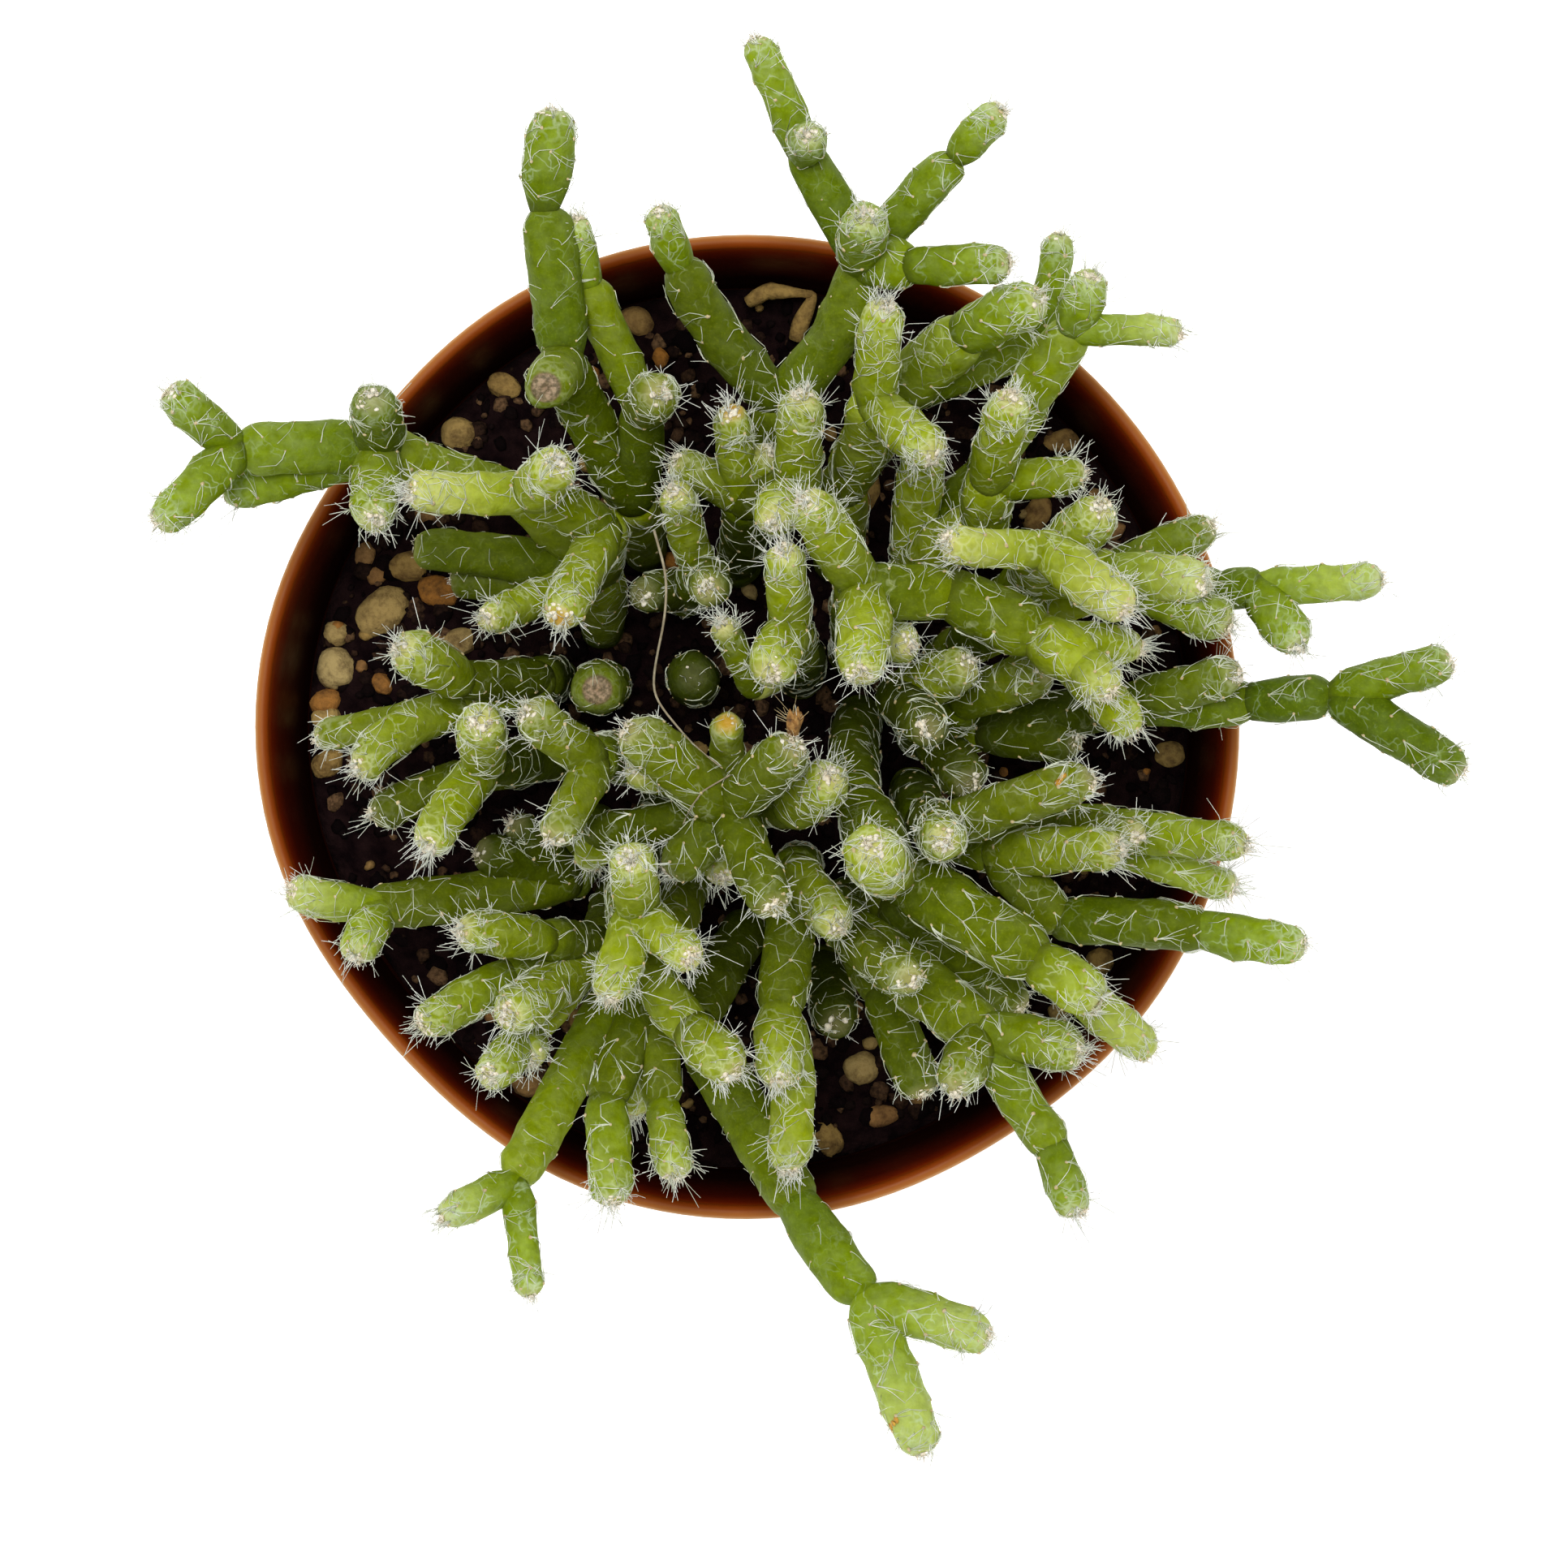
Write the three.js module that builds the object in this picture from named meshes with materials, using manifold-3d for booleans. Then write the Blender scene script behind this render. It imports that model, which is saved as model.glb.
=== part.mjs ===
// A hairy mistletoe cactus, 28 rooted plants grown together, in a small thin-walled nursery pot.
// Units are millimetres, +Z is up, and the origin is the centre of the pot's flat base.

import * as THREE from "three";
import { mergeVertices } from "three/addons/utils/BufferGeometryUtils.js";
import Module from "manifold-3d";

const wasm = await Module();
wasm.setup();

// ---------------------------------------------------------------- driving dimensions

const POT_HEIGHT = 76;
const POT_RIM_RADIUS = 42.5;
const POT_BASE_RADIUS = 29;
const POT_WALL = 1.2;
const POT_FLOOR = 1.6;
const RIM_BAND_HEIGHT = 14; // the stiffer band round the mouth
const RIM_BAND_STEP = 1.3; // how far the band stands out from the wall below it
const RIM_BAND_TAPER = 2; // how far the band widens from its foot to the lip
const LIP_ROUND = 0.45; // on the lip's outer edge
const FOOT_ROUND = 0.8; // on the edge of the base, and under the band
const SECTORS = 32;

// The thin mouth is squeezed a little flat in three places: [bearing in degrees, depth, half width].
const MOUTH_FLATS = [
  [222, 1.4, 22],
  [143, 1.0, 19],
  [303, 0.7, 19],
];

const DRAIN_HOLES = 6;
const DRAIN_RADIUS = 3;
const DRAIN_RING_RADIUS = 20;

const SOIL_TOP = 66;
const SOIL_EDGE_DROP = 2.5; // the soil is lower where it meets the wall
const FIT_GAP = 0.3; // between any two pieces that touch
const ROOT_DEPTH = 12; // how far a stem stands in its hole in the soil
const ROOT_CLEAR = 3; // how far it rises straight out of the soil
const ROOT_RADIUS = 1.9;

const STEM_SIDES = 6;
const NECK = 0.62; // width of a joint against the width of its stem
const ROUND_END = 0.42; // how much of its own width a stem takes to round off
const BRISTLE_LENGTH = 2;
const BRISTLE_RADIUS = 0.22;
const BRISTLES_PER_TIP = 1;
const BRISTLE_CLEAR = 0.6; // from a bristle's point to any other plant
const BRISTLE_TRIES = 12; // the directions tried before a crowded tip is left bare

// Plan places are given as seen from straight above, at the height of the mouth,
// by an eye on this axis and this far above the mouth. A stem that stands higher
// looks further out than it is, and seen() brings it back.
const EYE = { x: 3.2, y: -4.9, aboveMouth: 400 };

// ---------------------------------------------------------------- the plants

// Each plant is a set of chains of joints. A chain "a" starts in the soil, at a plan
// place [u, v]. A chain "b<a2" starts at the joint a2. Every other entry is a joint
// [u, v, height, width of the stem below it, and how far that stem bows to its left].
// A joint that nothing starts from is a growing tip.
const PLANTS = {
  north_west: {
    a: [
      [-8.7, 15.4], [-9.8, 19.5, 82, 4.2], [-15.7, 31.3, 97, 4.4],
      [-17.5, 44.8, 101, 4.7], [-16.5, 53.3, 103, 4.4],
    ],
    "b<a2": [[-17.4, 29.2, 106, 4.7]],
    "c<a1": [[-9.1, 27.4, 93, 4.2], [-13.6, 38, 97, 3.7], [-14.8, 43.9, 100, 3]],
    "d<c1": [[-7.7, 28.9, 103, 4.3]],
  },
  west_far: {
    a: [
      [-12.3, 8.6], [-12.6, 13.5, 81, 4.2], [-12.2, 17, 94, 4.3],
      [-18.5, 20.1, 101, 4.2], [-29.2, 20.4, 105, 3.8],
    ],
    "b<a3": [[-16.4, 22.7, 110, 4.4]],
    "c<a2": [[-16.2, 9.2, 104, 4.2]],
    "d<a1": [[-22.6, 9.2, 93, 3.5]],
    "e<a1": [[-19.5, 20, 86, 4.2], [-31.6, 24.1, 95, 4.3], [-43.9, 24, 99, 4.8], [-49.9, 29.2, 102, 3.9]],
    "f<e3": [[-50.8, 17.3, 102, 4]],
    "g<e2": [[-32.3, 28.3, 104, 4.6]],
    "h<e2": [[-32.3, 17.6, 103, 4.4]],
    "i<e2": [[-45.2, 20.2, 94, 4.6]],
    "j<a1": [[-28.8, 15.5, 84, 4.2]],
    "k<a1": [[-25.6, 12.5, 80, 3.6]],
  },
  west: {
    a: [[-16.5, 4.2], [-17.5, 4.2, 84, 4.2], [-24.6, 4, 91, 3.6], [-29.8, 6.9, 98, 4.2]],
    "b<a1": [[-24.5, 1.6, 86, 4], [-33.6, -3.8, 92, 3.9, -1.2]],
    "c<b1": [[-37.2, -0.9, 84, 2.9]],
  },
  west_low: {
    a: [[-15, -1.5], [-16.5, -2.5, 82, 4.2], [-22.7, -3.2, 96, 4], [-27.7, -10.4, 102, 3.9]],
    "b<a2": [[-22.8, 0.6, 107, 4.3]],
    "c<a1": [[-24.5, -4.2, 84, 3.8], [-32.4, -7.8, 86, 3.7]],
  },
  west_near: {
    a: [[-9.5, -2], [-11, -2.5, 90, 4.2], [-13.1, -3, 103, 4.2], [-19, 1.6, 108, 4.1]],
    "b<a2": [[-16.8, -9.7, 108, 3.9]],
  },
  south_west: {
    a: [[-13, -8.6], [-15.2, -13.2, 80, 4.3], [-31.8, -15.5, 87, 4.2], [-39.6, -14.2, 90, 3.5]],
    "b<a2": [[-34, -19.8, 91, 3.7]],
    "c<a1": [[-23.2, -10.6, 85, 4.3]],
    "d<a1": [[-20.2, -8, 85, 3.2]],
  },
  south_west_low: {
    a: [[-10, -12.5], [-12.8, -18.8, 83, 4.2], [-20.6, -24.9, 99, 4.6]],
    "b<a1": [[-20.5, -21.3, 88, 4], [-28.2, -25.8, 92, 4]],
    "c<a1": [[-19, -26.3, 90, 3.6], [-22.4, -30.3, 97, 3.9]],
    "d<c1": [[-18.4, -28.8, 93, 3.4]],
    "e<a1": [[-17.2, -18.3, 93, 3.9], [-24.7, -17.5, 98, 3.8]],
  },
  south_far_west: {
    a: [[-6, -16.5], [-11.8, -23.5, 79, 4.2], [-20, -39, 92, 4.2], [-26.4, -42.3, 95, 3.2]],
    "b<a2": [[-18.7, -49.1, 95, 2.9]],
  },
  south_mid: {
    a: [[-4.5, -11], [-8.6, -22.5, 90, 4.2], [-12.1, -32.1, 96, 4], [-11.7, -41.2, 99, 4.1]],
    "b<a1": [[-7.3, -32.3, 94, 3.9], [-6.1, -38.8, 98, 3.6]],
    "c<a1": [[-9.9, -33.4, 88, 3.2]],
  },
  south_near: {
    a: [[-7, -6.5], [-10.4, -14.3, 92, 4.2], [-9.5, -15.8, 105, 4.1], [-12.2, -23.4, 108, 4.1]],
    "b<a2": [[-9.9, -11.1, 115, 4.1]],
    "c<a2": [[-4.6, -20.1, 112, 3.8]],
    "d<a1": [[-9, -20.2, 97, 4.2], [-4.9, -25.9, 101, 4.4], [-0.8, -29.8, 104, 4.8]],
  },
  south_far: {
    a: [
      [-0.2, -17.5], [-4.8, -25.7, 81, 4.3], [4.3, -41, 90, 4.9], [10.2, -49.2, 94, 4.6],
      [21, -52.6, 97, 4.4],
    ],
    "b<a3": [[15.4, -62.7, 97, 4.6]],
  },
  centre_south: {
    a: [[-1, -4], [-1.2, -5.5, 90, 4.3], [-1.6, -7.2, 103, 4.5], [4.2, -1.6, 112, 4.4]],
    "b<a2": [[2.4, -15.8, 110, 4.3]],
    "c<a2": [[-10.3, -0.2, 110, 5]],
    "d<a2": [[-6.8, -12.7, 102, 4.4]],
    "e<a1": [[-2.4, -13.2, 97, 3.9]],
    "f<a2": [[-13.4, -9.1, 98, 3.5], [-13.2, -11.8, 95, 3.3]],
    "g<a1": [[-9.6, -3.6, 104, 3.9]],
    "h<a1": [[-1.7, 0.5, 100, 3.1]],
    "i<a1": [[4, -7, 98, 4.2], [7.5, -4.3, 107, 4.4]],
  },
  south: {
    a: [[4.4, -12], [4.2, -12.4, 92, 4.2], [7.8, -17.1, 102, 4.2]],
    "b<a1": [[2.9, -24.5, 96, 4.4], [2.9, -30.8, 100, 4.3]],
    "c<b1": [[3.5, -38.3, 96, 4.2, 0.7]],
  },
  south_east: {
    a: [
      [9.2, -15], [8.2, -15.2, 78, 4.3], [8.8, -17.5, 90, 4.7], [20.2, -26.3, 98, 5.2],
      [28.9, -28, 102, 4.5],
    ],
    "b<a3": [[26.3, -36.2, 100, 3.9], [28.5, -42, 103, 3.6]],
    "c<a3": [[17.7, -31.3, 103, 4.1]],
    "d<a2": [[14.2, -21.7, 106, 3.9]],
    "e<a1": [[11.8, -23, 83, 4], [15.2, -31.8, 86, 4.1]],
    "f<a1": [[12.5, -15.5, 87, 4.2], [23.8, -24.4, 92, 4.3]],
  },
  south_low: {
    a: [[6.6, -20.8], [7.7, -25.7, 80, 4.4]],
  },
  east_south: {
    a: [
      [9.6, 0.6], [9.6, -6.6, 92, 4.5], [12.3, -12, 100, 5.1], [24.8, -20, 105, 5.8],
      [30.4, -23.9, 106, 4.8],
    ],
    "b<a2": [[10.7, -10.6, 119, 5.6]],
    "c<a3": [[34.9, -28.1, 101, 4.1]],
  },
  east_low: {
    a: [[14.3, -5.4], [15.2, -8, 86, 4.3], [16.8, -8.8, 100, 4.3], [16.9, -9.6, 112, 4.4]],
    "b<a2": [[29.8, -4.4, 106, 4.4]],
    "c<a1": [[21.5, -11, 94, 4.2], [32.1, -10.5, 103, 4.3]],
    "d<c1": [[27, -16.7, 95, 4.3], [39.3, -17.4, 98, 4.3], [48.1, -19, 101, 3.9]],
    "e<a1": [[27, -8.2, 89, 3.9], [43.1, -10.1, 96, 3.9]],
    "f<e1": [[42.1, -13.9, 90, 3.3]],
    "g<e1": [[33.8, -9.2, 99, 3.1]],
  },
  east: {
    a: [
      [15, -0.7], [15.6, -0.5, 82, 4.3], [33, 2.2, 91, 4.3], [43.4, 2.2, 94, 4.2],
      [50.5, 2.8, 96, 4.2], [60.8, 5.7, 99, 4],
    ],
    "b<a4": [[61.7, -4.1, 99, 4.1]],
    "c<a2": [[42.3, 4.8, 99, 4]],
    "d<a1": [[20.6, -0.4, 85, 3.9], [28.6, -1.2, 89, 4.5]],
    "e<a1": [[12.8, 2.8, 95, 4.3], [19.3, 5.4, 101.5, 4.4]],
    "f<e1": [[15.8, -0.3, 108, 4.3]],
    "g<a1": [[19.2, -5, 91, 4.3]],
    "h<a1": [[18.5, 2.4, 92, 4.2], [26, 5.1, 97, 4.4]],
  },
  east_north: {
    a: [
      [16.5, 5], [18.5, 7, 80, 4.3], [30, 12.3, 89, 4.2], [40.9, 11.8, 94, 4],
      [43.9, 12, 95, 3.9], [54.8, 12.7, 98, 3.5],
    ],
    "b<a4": [[47.7, 6.9, 99, 4.1]],
    "c<a1": [[24.5, 13, 93, 4.3], [25.7, 15.3, 106, 4.2], [32.9, 10, 111, 4.5]],
    "d<c2": [[17, 15.8, 111, 3.8]],
    "e<c1": [[31.5, 13.3, 99, 4.2], [39.8, 12.5, 105, 4.3]],
    "f<e1": [[41.7, 8.8, 103, 4.3]],
    "g<c1": [[30.8, 18.9, 103, 4.6]],
    "h<a2": [[40.3, 17.3, 92, 3.7]],
  },
  crown: {
    a: [[9, 6.4], [9.3, 9, 92, 4.4], [10, 12, 106, 4.6], [5.1, 19.8, 114, 4.5]],
    "b<a2": [[9.8, 4.3, 113, 4.9]],
    "c<a2": [[17.6, 11.5, 105, 5], [25, 8, 105, 5.4], [29, 5.6, 107, 5], [31.4, 2.7, 108, 4.2]],
    "d<c2": [[33.5, -0.4, 102, 4]],
    "e<c2": [[34, 6.9, 103, 3.7]],
    "f<a1": [[13.9, 7.1, 105, 3.8]],
  },
  north_east: {
    a: [[7.8, 14.5], [8.3, 20.5, 82, 4.3], [10.9, 28, 98, 4.3], [11.7, 36.5, 105, 4.1]],
    "b<a2": [[16.2, 23.4, 105, 4.2]],
    "c<a1": [[12.6, 28.3, 87, 4.5], [18.8, 33.9, 94, 5], [25.3, 36.9, 100, 4.7]],
    "d<c1": [[25, 33.2, 84, 4.2], [27.1, 42.5, 88, 3]],
  },
  east_far_north: {
    a: [
      [14, 11], [14.2, 13.5, 79, 4.3], [20.6, 17.5, 92, 4.7], [20.9, 21.2, 98, 4.8],
      [22.8, 28.4, 107, 4.1],
    ],
    "b<a1": [[15.4, 23.9, 90, 4.2]],
    "c<a3": [[29, 22, 96, 3.7]],
    "d<a1": [[20.5, 22, 84, 4.3], [28, 34.2, 93, 4.3], [29.8, 39.1, 97, 3.9]],
    "e<d2": [[37.5, 34, 96, 3]],
  },
  north: {
    a: [
      [2.4, 17.7], [2.3, 20, 78, 4.2], [2.7, 28, 89, 4.6],
      [-5.7, 39.5, 94, 4.4, 0.6], [-7.6, 44.8, 97, 3.4],
    ],
    "b<a2": [[9.9, 40, 95, 4.4, -0.9], [4.8, 49.6, 99, 3.8], [0.6, 59.4, 102, 3.6]],
    "c<b2": [[5.4, 51, 105, 3.5]],
    "d<b1": [[18, 49.1, 99, 3.8], [21.9, 53.4, 102, 3.5]],
    "e<b1": [[14, 39.8, 99, 4.4], [22.7, 39.9, 101, 3.7]],
    "f<b1": [[10.3, 43.9, 105, 4.5]],
  },
  north_near: {
    a: [[-0.9, 14.2], [-0.2, 19.5, 92, 4.3], [4.3, 20.3, 97, 4.2], [4.8, 28.6, 105, 4.2]],
    "b<a1": [[-1.3, 27.5, 99, 3.5]],
    "c<a1": [[-6.5, 22.9, 95, 3.5]],
    "d<a1": [[1.9, 23.9, 96, 3.3]],
    "e<a2": [[2.2, 17.9, 106, 4.3]],
  },
  centre_north: {
    a: [[-5.4, 11.3], [-5, 11.6, 77, 4.1], [-3.7, 13, 88, 4], [-6.1, 20.4, 100, 3.4]],
    "b<a2": [[-3.3, 11.8, 101, 3.9]],
    "c<a1": [[-9.2, 11.4, 88, 3.7]],
  },
  centre: {
    a: [[4.6, 4.3], [4.6, 6, 92, 4.3], [3.8, 8.4, 103, 4], [3.3, 15.4, 111, 3.7]],
    "b<a2": [[1.8, 4.6, 110, 4.4]],
    "c<a1": [[0.6, 3.3, 97, 2.8], [-2.1, 8.9, 105, 2.5]],
  },
  stump_west: {
    a: [[-12, 3.6], [-12.3, 3.5, 78, 4.3], [-12.9, 3.2, 92, 4.7]],
  },
  stump_centre: {
    a: [[-4.4, 3.6], [-4.5, 3.9, 77, 4.3], [-4.6, 4.3, 90, 4.8]],
  },
};

// Grains that show on the soil: [u, v, half length, half width, turn in degrees].
const GRAINS = [
  [-31.5, 10.5, 2.6, 1.9, 40],
  [-28.6, 12.6, 1.7, 1.4, 0],
  [-26.5, 11.6, 1.7, 1.3, 20],
  [-36.8, 6, 2.9, 1.8, 95],
  [-36.9, 2, 1.5, 1.3, 0],
  [-37.2, -3.2, 1.6, 1.2, 30],
  [-25.2, 25.7, 1.7, 1.5, 0],
  [-33.7, 15.5, 1.3, 1, 80],
  [-22.6, 31.8, 1.6, 1.1, 160],
  [-9.6, 35.6, 1.6, 1.2, 150],
  [9.9, -29.4, 1.6, 1.5, 0],
  [7, -35.6, 1.7, 1.2, 120],
  [11.6, -33.6, 1.6, 1, 10],
  [36.9, -2.3, 1.4, 1.2, 0],
  [5.7, 35.4, 2.8, 1.1, 80],
  [-19.8, -32.4, 1.6, 1.2, 20],
  [33.6, -22.5, 1.5, 1.2, 40],
  [28.5, 26, 1.6, 1.1, 15],
  [10.2, 20.4, 2.2, 1.3, 80],
  [25, 18.4, 1.7, 1.2, 60],
];

const GRAIN_HEIGHT = 0.85; // half height against half width

const COLOURS = {
  pot: 0x8a4522,
  soil: 0x17110d,
  stem: 0x7f9a2c,
};

// ---------------------------------------------------------------- helpers

const UP = new THREE.Vector3(0, 0, 1);

function shrinkAt(z) {
  return (EYE.aboveMouth - (z - POT_HEIGHT)) / EYE.aboveMouth;
}

function seen(u, v, z) {
  const shrink = shrinkAt(z);
  return new THREE.Vector3(EYE.x + (u - EYE.x) * shrink, EYE.y + (v - EYE.y) * shrink, z);
}

// A repeatable stream of numbers from 0 to 1.
function randomStream(seed) {
  let state = seed;
  return () => {
    state = (state * 1664525 + 1013904223) >>> 0;
    return state / 4294967296;
  };
}

function solidOf(geometry) {
  const bare = geometry.clone();
  bare.deleteAttribute("normal");
  bare.deleteAttribute("uv");
  const merged = mergeVertices(bare, 1e-4);
  return new wasm.Manifold(
    new wasm.Mesh({
      numProp: 3,
      vertProperties: new Float32Array(merged.attributes.position.array),
      triVerts: new Uint32Array(merged.index.array),
    }),
  );
}

function geometryOf(solid) {
  const mesh = solid.getMesh();
  const geometry = new THREE.BufferGeometry();
  geometry.setAttribute("position", new THREE.BufferAttribute(mesh.vertProperties, 3));
  geometry.setIndex(new THREE.BufferAttribute(mesh.triVerts, 1));
  geometry.computeVertexNormals();
  return geometry;
}

// A closed tube through rings of points, with a point or a flat fan at each end.
function ringSolid(rings, lowPole, highPole) {
  const sides = rings[0].length;
  const points = [...rings.flat(), lowPole, highPole];
  const low = points.length - 2;
  const high = points.length - 1;
  const last = (rings.length - 1) * sides;
  const faces = [];
  for (let s = 0; s < sides; s++) {
    const next = (s + 1) % sides;
    faces.push(low, next, s, high, last + s, last + next);
    for (let r = 0; r < rings.length - 1; r++) {
      const a = r * sides + s;
      const b = r * sides + next;
      faces.push(a, b, b + sides, a, b + sides, a + sides);
    }
  }
  const geometry = new THREE.BufferGeometry();
  const flat = points.flatMap((p) => [p.x, p.y, p.z]);
  geometry.setAttribute("position", new THREE.Float32BufferAttribute(flat, 3));
  geometry.setIndex(faces);
  return solidOf(geometry);
}

// ---------------------------------------------------------------- pot and soil

// How far the mouth is pushed in at a bearing; the round base isn't squeezed at all.
function mouthFlat(angle, z) {
  const degrees = (THREE.MathUtils.radToDeg(angle) + 360) % 360;
  const share = THREE.MathUtils.clamp(z / POT_HEIGHT, 0, 1) ** 2;
  let depth = 0;
  for (const [bearing, most, halfWidth] of MOUTH_FLATS) {
    const away = Math.abs(((degrees - bearing + 540) % 360) - 180);
    depth += most * Math.exp(-((away / halfWidth) ** 2));
  }
  return depth * share;
}

function squeeze(geometry) {
  const position = geometry.attributes.position;
  for (let i = 0; i < position.count; i++) {
    const x = position.getX(i);
    const y = position.getY(i);
    const radius = Math.hypot(x, y);
    if (radius < POT_BASE_RADIUS - 6) continue;
    const scale = (radius - mouthFlat(Math.atan2(y, x), position.getZ(i))) / radius;
    position.setXY(i, x * scale, y * scale);
  }
  return geometry;
}

// Turns a profile of [radius, height] points, from the axis back to the axis, into a solid.
function turned(profile) {
  const lathe = new THREE.LatheGeometry(
    profile.map(([r, z]) => new THREE.Vector2(r, z)),
    SECTORS,
  );
  lathe.rotateX(Math.PI / 2);
  return solidOf(squeeze(lathe));
}

const BAND_FOOT = POT_HEIGHT - RIM_BAND_HEIGHT;
const BAND_FOOT_RADIUS = POT_RIM_RADIUS - RIM_BAND_TAPER;
const WALL_TOP_RADIUS = BAND_FOOT_RADIUS - RIM_BAND_STEP;

// The outside of the tapered wall below the band.
function wallRadius(z) {
  return THREE.MathUtils.mapLinear(z, 0, BAND_FOOT, POT_BASE_RADIUS, WALL_TOP_RADIUS);
}

// The inside, as [radius, height] points from the floor up to the mouth.
const INSIDE = [
  [wallRadius(POT_FLOOR) - POT_WALL, POT_FLOOR],
  [wallRadius(BAND_FOOT) - POT_WALL, BAND_FOOT - RIM_BAND_STEP],
  [BAND_FOOT_RADIUS - POT_WALL, BAND_FOOT],
  [POT_RIM_RADIUS - POT_WALL, POT_HEIGHT - LIP_ROUND],
];

function potSolid() {
  const lip = POT_RIM_RADIUS;
  const profile = [
    [0, 0],
    [POT_BASE_RADIUS - FOOT_ROUND, 0],
    [wallRadius(FOOT_ROUND), FOOT_ROUND],
    [wallRadius(BAND_FOOT), BAND_FOOT - FOOT_ROUND],
    [BAND_FOOT_RADIUS, BAND_FOOT],
    [lip, POT_HEIGHT - LIP_ROUND],
    [lip - LIP_ROUND, POT_HEIGHT],
    [lip - POT_WALL + LIP_ROUND / 3, POT_HEIGHT],
    ...INSIDE.toReversed(),
    [0, POT_FLOOR],
  ];
  let pot = turned(profile);
  for (let i = 0; i < DRAIN_HOLES; i++) {
    const angle = (i / DRAIN_HOLES) * 2 * Math.PI;
    const plug = new THREE.CylinderGeometry(DRAIN_RADIUS, DRAIN_RADIUS, 3 * POT_FLOOR, 10);
    plug.rotateX(Math.PI / 2);
    plug.translate(DRAIN_RING_RADIUS, 0, POT_FLOOR / 2);
    plug.rotateZ(angle);
    pot = pot.subtract(solidOf(plug));
  }
  return pot;
}

// The soil's uneven top: long low swells, with the edge a little lower.
function soilHeight(x, y) {
  const swell = 0.4 * Math.sin(0.15 * x + 1.1) * Math.cos(0.13 * y) + 0.2 * Math.sin(0.2 * x - 0.23 * y);
  const edge = SOIL_EDGE_DROP * THREE.MathUtils.smoothstep(Math.hypot(x, y), 26, 41);
  return SOIL_TOP + swell - edge;
}

// The inner radius of the wall at the height of the soil's top.
function innerRadius(angle) {
  const [, , foot, mouth] = INSIDE;
  const round = THREE.MathUtils.mapLinear(SOIL_TOP, foot[1], mouth[1], foot[0], mouth[0]);
  return round - mouthFlat(angle, SOIL_TOP);
}

// The soil fills the pot, a fit gap inside its wall and floor.
function soilSolid() {
  const [floor, shoulder, foot] = INSIDE;
  const ring = (radiusAt, heightAt) =>
    Array.from({ length: SECTORS }, (_, i) => {
      const angle = (i / SECTORS) * 2 * Math.PI;
      const x = radiusAt(angle) * Math.cos(angle);
      const y = radiusAt(angle) * Math.sin(angle);
      return new THREE.Vector3(x, y, heightAt(x, y));
    });
  const side = [[floor[0], floor[1] + FIT_GAP], shoulder, foot].map(([radius, z]) =>
    ring(
      (angle) => radius - FIT_GAP - mouthFlat(angle, z),
      () => z,
    ),
  );
  const top = [1, 0.76, 0.45].map((portion) =>
    ring((angle) => portion * (innerRadius(angle) - 2 * FIT_GAP), soilHeight),
  );
  const bottom = new THREE.Vector3(0, 0, POT_FLOOR + FIT_GAP);
  return ringSolid([...side, ...top], bottom, new THREE.Vector3(0, 0, soilHeight(0, 0)));
}

// A grain half sunk in the soil, drawn in from the wall where it would touch it.
function grainSolid([u, v, halfLength, halfWidth, turn]) {
  const place = seen(u, v, SOIL_TOP);
  const bearing = Math.atan2(place.y, place.x);
  const turned = bearing - THREE.MathUtils.degToRad(turn);
  const outward = Math.hypot(halfLength * Math.cos(turned), halfWidth * Math.sin(turned));
  const away = Math.min(Math.hypot(place.x, place.y), innerRadius(bearing) - 2 * FIT_GAP - outward);
  place.set(away * Math.cos(bearing), away * Math.sin(bearing), 0);
  const grain = new THREE.IcosahedronGeometry(1, 0);
  grain.scale(halfLength, halfWidth, GRAIN_HEIGHT * halfWidth);
  grain.rotateZ(THREE.MathUtils.degToRad(turn));
  grain.translate(place.x, place.y, soilHeight(place.x, place.y));
  return solidOf(grain);
}

// ---------------------------------------------------------------- stems

// Reads one plant's chains of joints. Each stem knows its two ends, width and bow.
function readPlant(chains) {
  const joints = {};
  const roots = [];
  const lines = Object.entries(chains).map(([key, rows]) => {
    const [name, parent] = key.split("<");
    const line = { rooted: !parent, stems: [] };
    let from = joints[parent];
    if (line.rooted) {
      const [u, v] = rows.at(0);
      from = seen(u, v, SOIL_TOP).setZ(SOIL_TOP + ROOT_CLEAR);
      roots.push(from);
    }
    rows.slice(line.rooted ? 1 : 0).forEach(([u, v, z, width, bow = 0], i) => {
      const to = seen(u, v, z);
      line.stems.push({ from, to, width: width * shrinkAt((from.z + z) / 2), bow });
      joints[name + (i + 1)] = to;
      from = to;
    });
    return line;
  });
  return { lines, roots, stems: lines.flatMap(({ stems }) => stems) };
}

// The point and the direction at share t of a stem that bows to its left.
function alongStem({ from, to, bow }, t) {
  const run = to.clone().sub(from);
  const left = new THREE.Vector3(-run.y, run.x, 0).normalize();
  const at = from.clone().addScaledVector(run, t).addScaledVector(left, 4 * bow * t * (1 - t));
  const direction = run.clone().addScaledVector(left, 4 * bow * (1 - 2 * t)).normalize();
  return { at, direction };
}

// A ring of points across a stem, turned so that rings of one line follow each other.
function stemRing(at, direction, radius, across) {
  const side = across.clone().addScaledVector(direction, -across.dot(direction)).normalize();
  const other = new THREE.Vector3().crossVectors(direction, side);
  across.copy(side);
  return Array.from({ length: STEM_SIDES }, (_, i) => {
    const angle = (i / STEM_SIDES) * 2 * Math.PI;
    return at
      .clone()
      .addScaledVector(side, radius * Math.cos(angle))
      .addScaledVector(other, radius * Math.sin(angle));
  });
}

const ROOT_ACROSS = new THREE.Vector3(1, 0, 0);

// The straight foot of a plant, or the hole that it stands in.
function rootRings(place, lowest, highest, radius) {
  return [lowest, highest].map((z) => stemRing(place.clone().setZ(z), UP, radius, ROOT_ACROSS.clone()));
}

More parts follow.
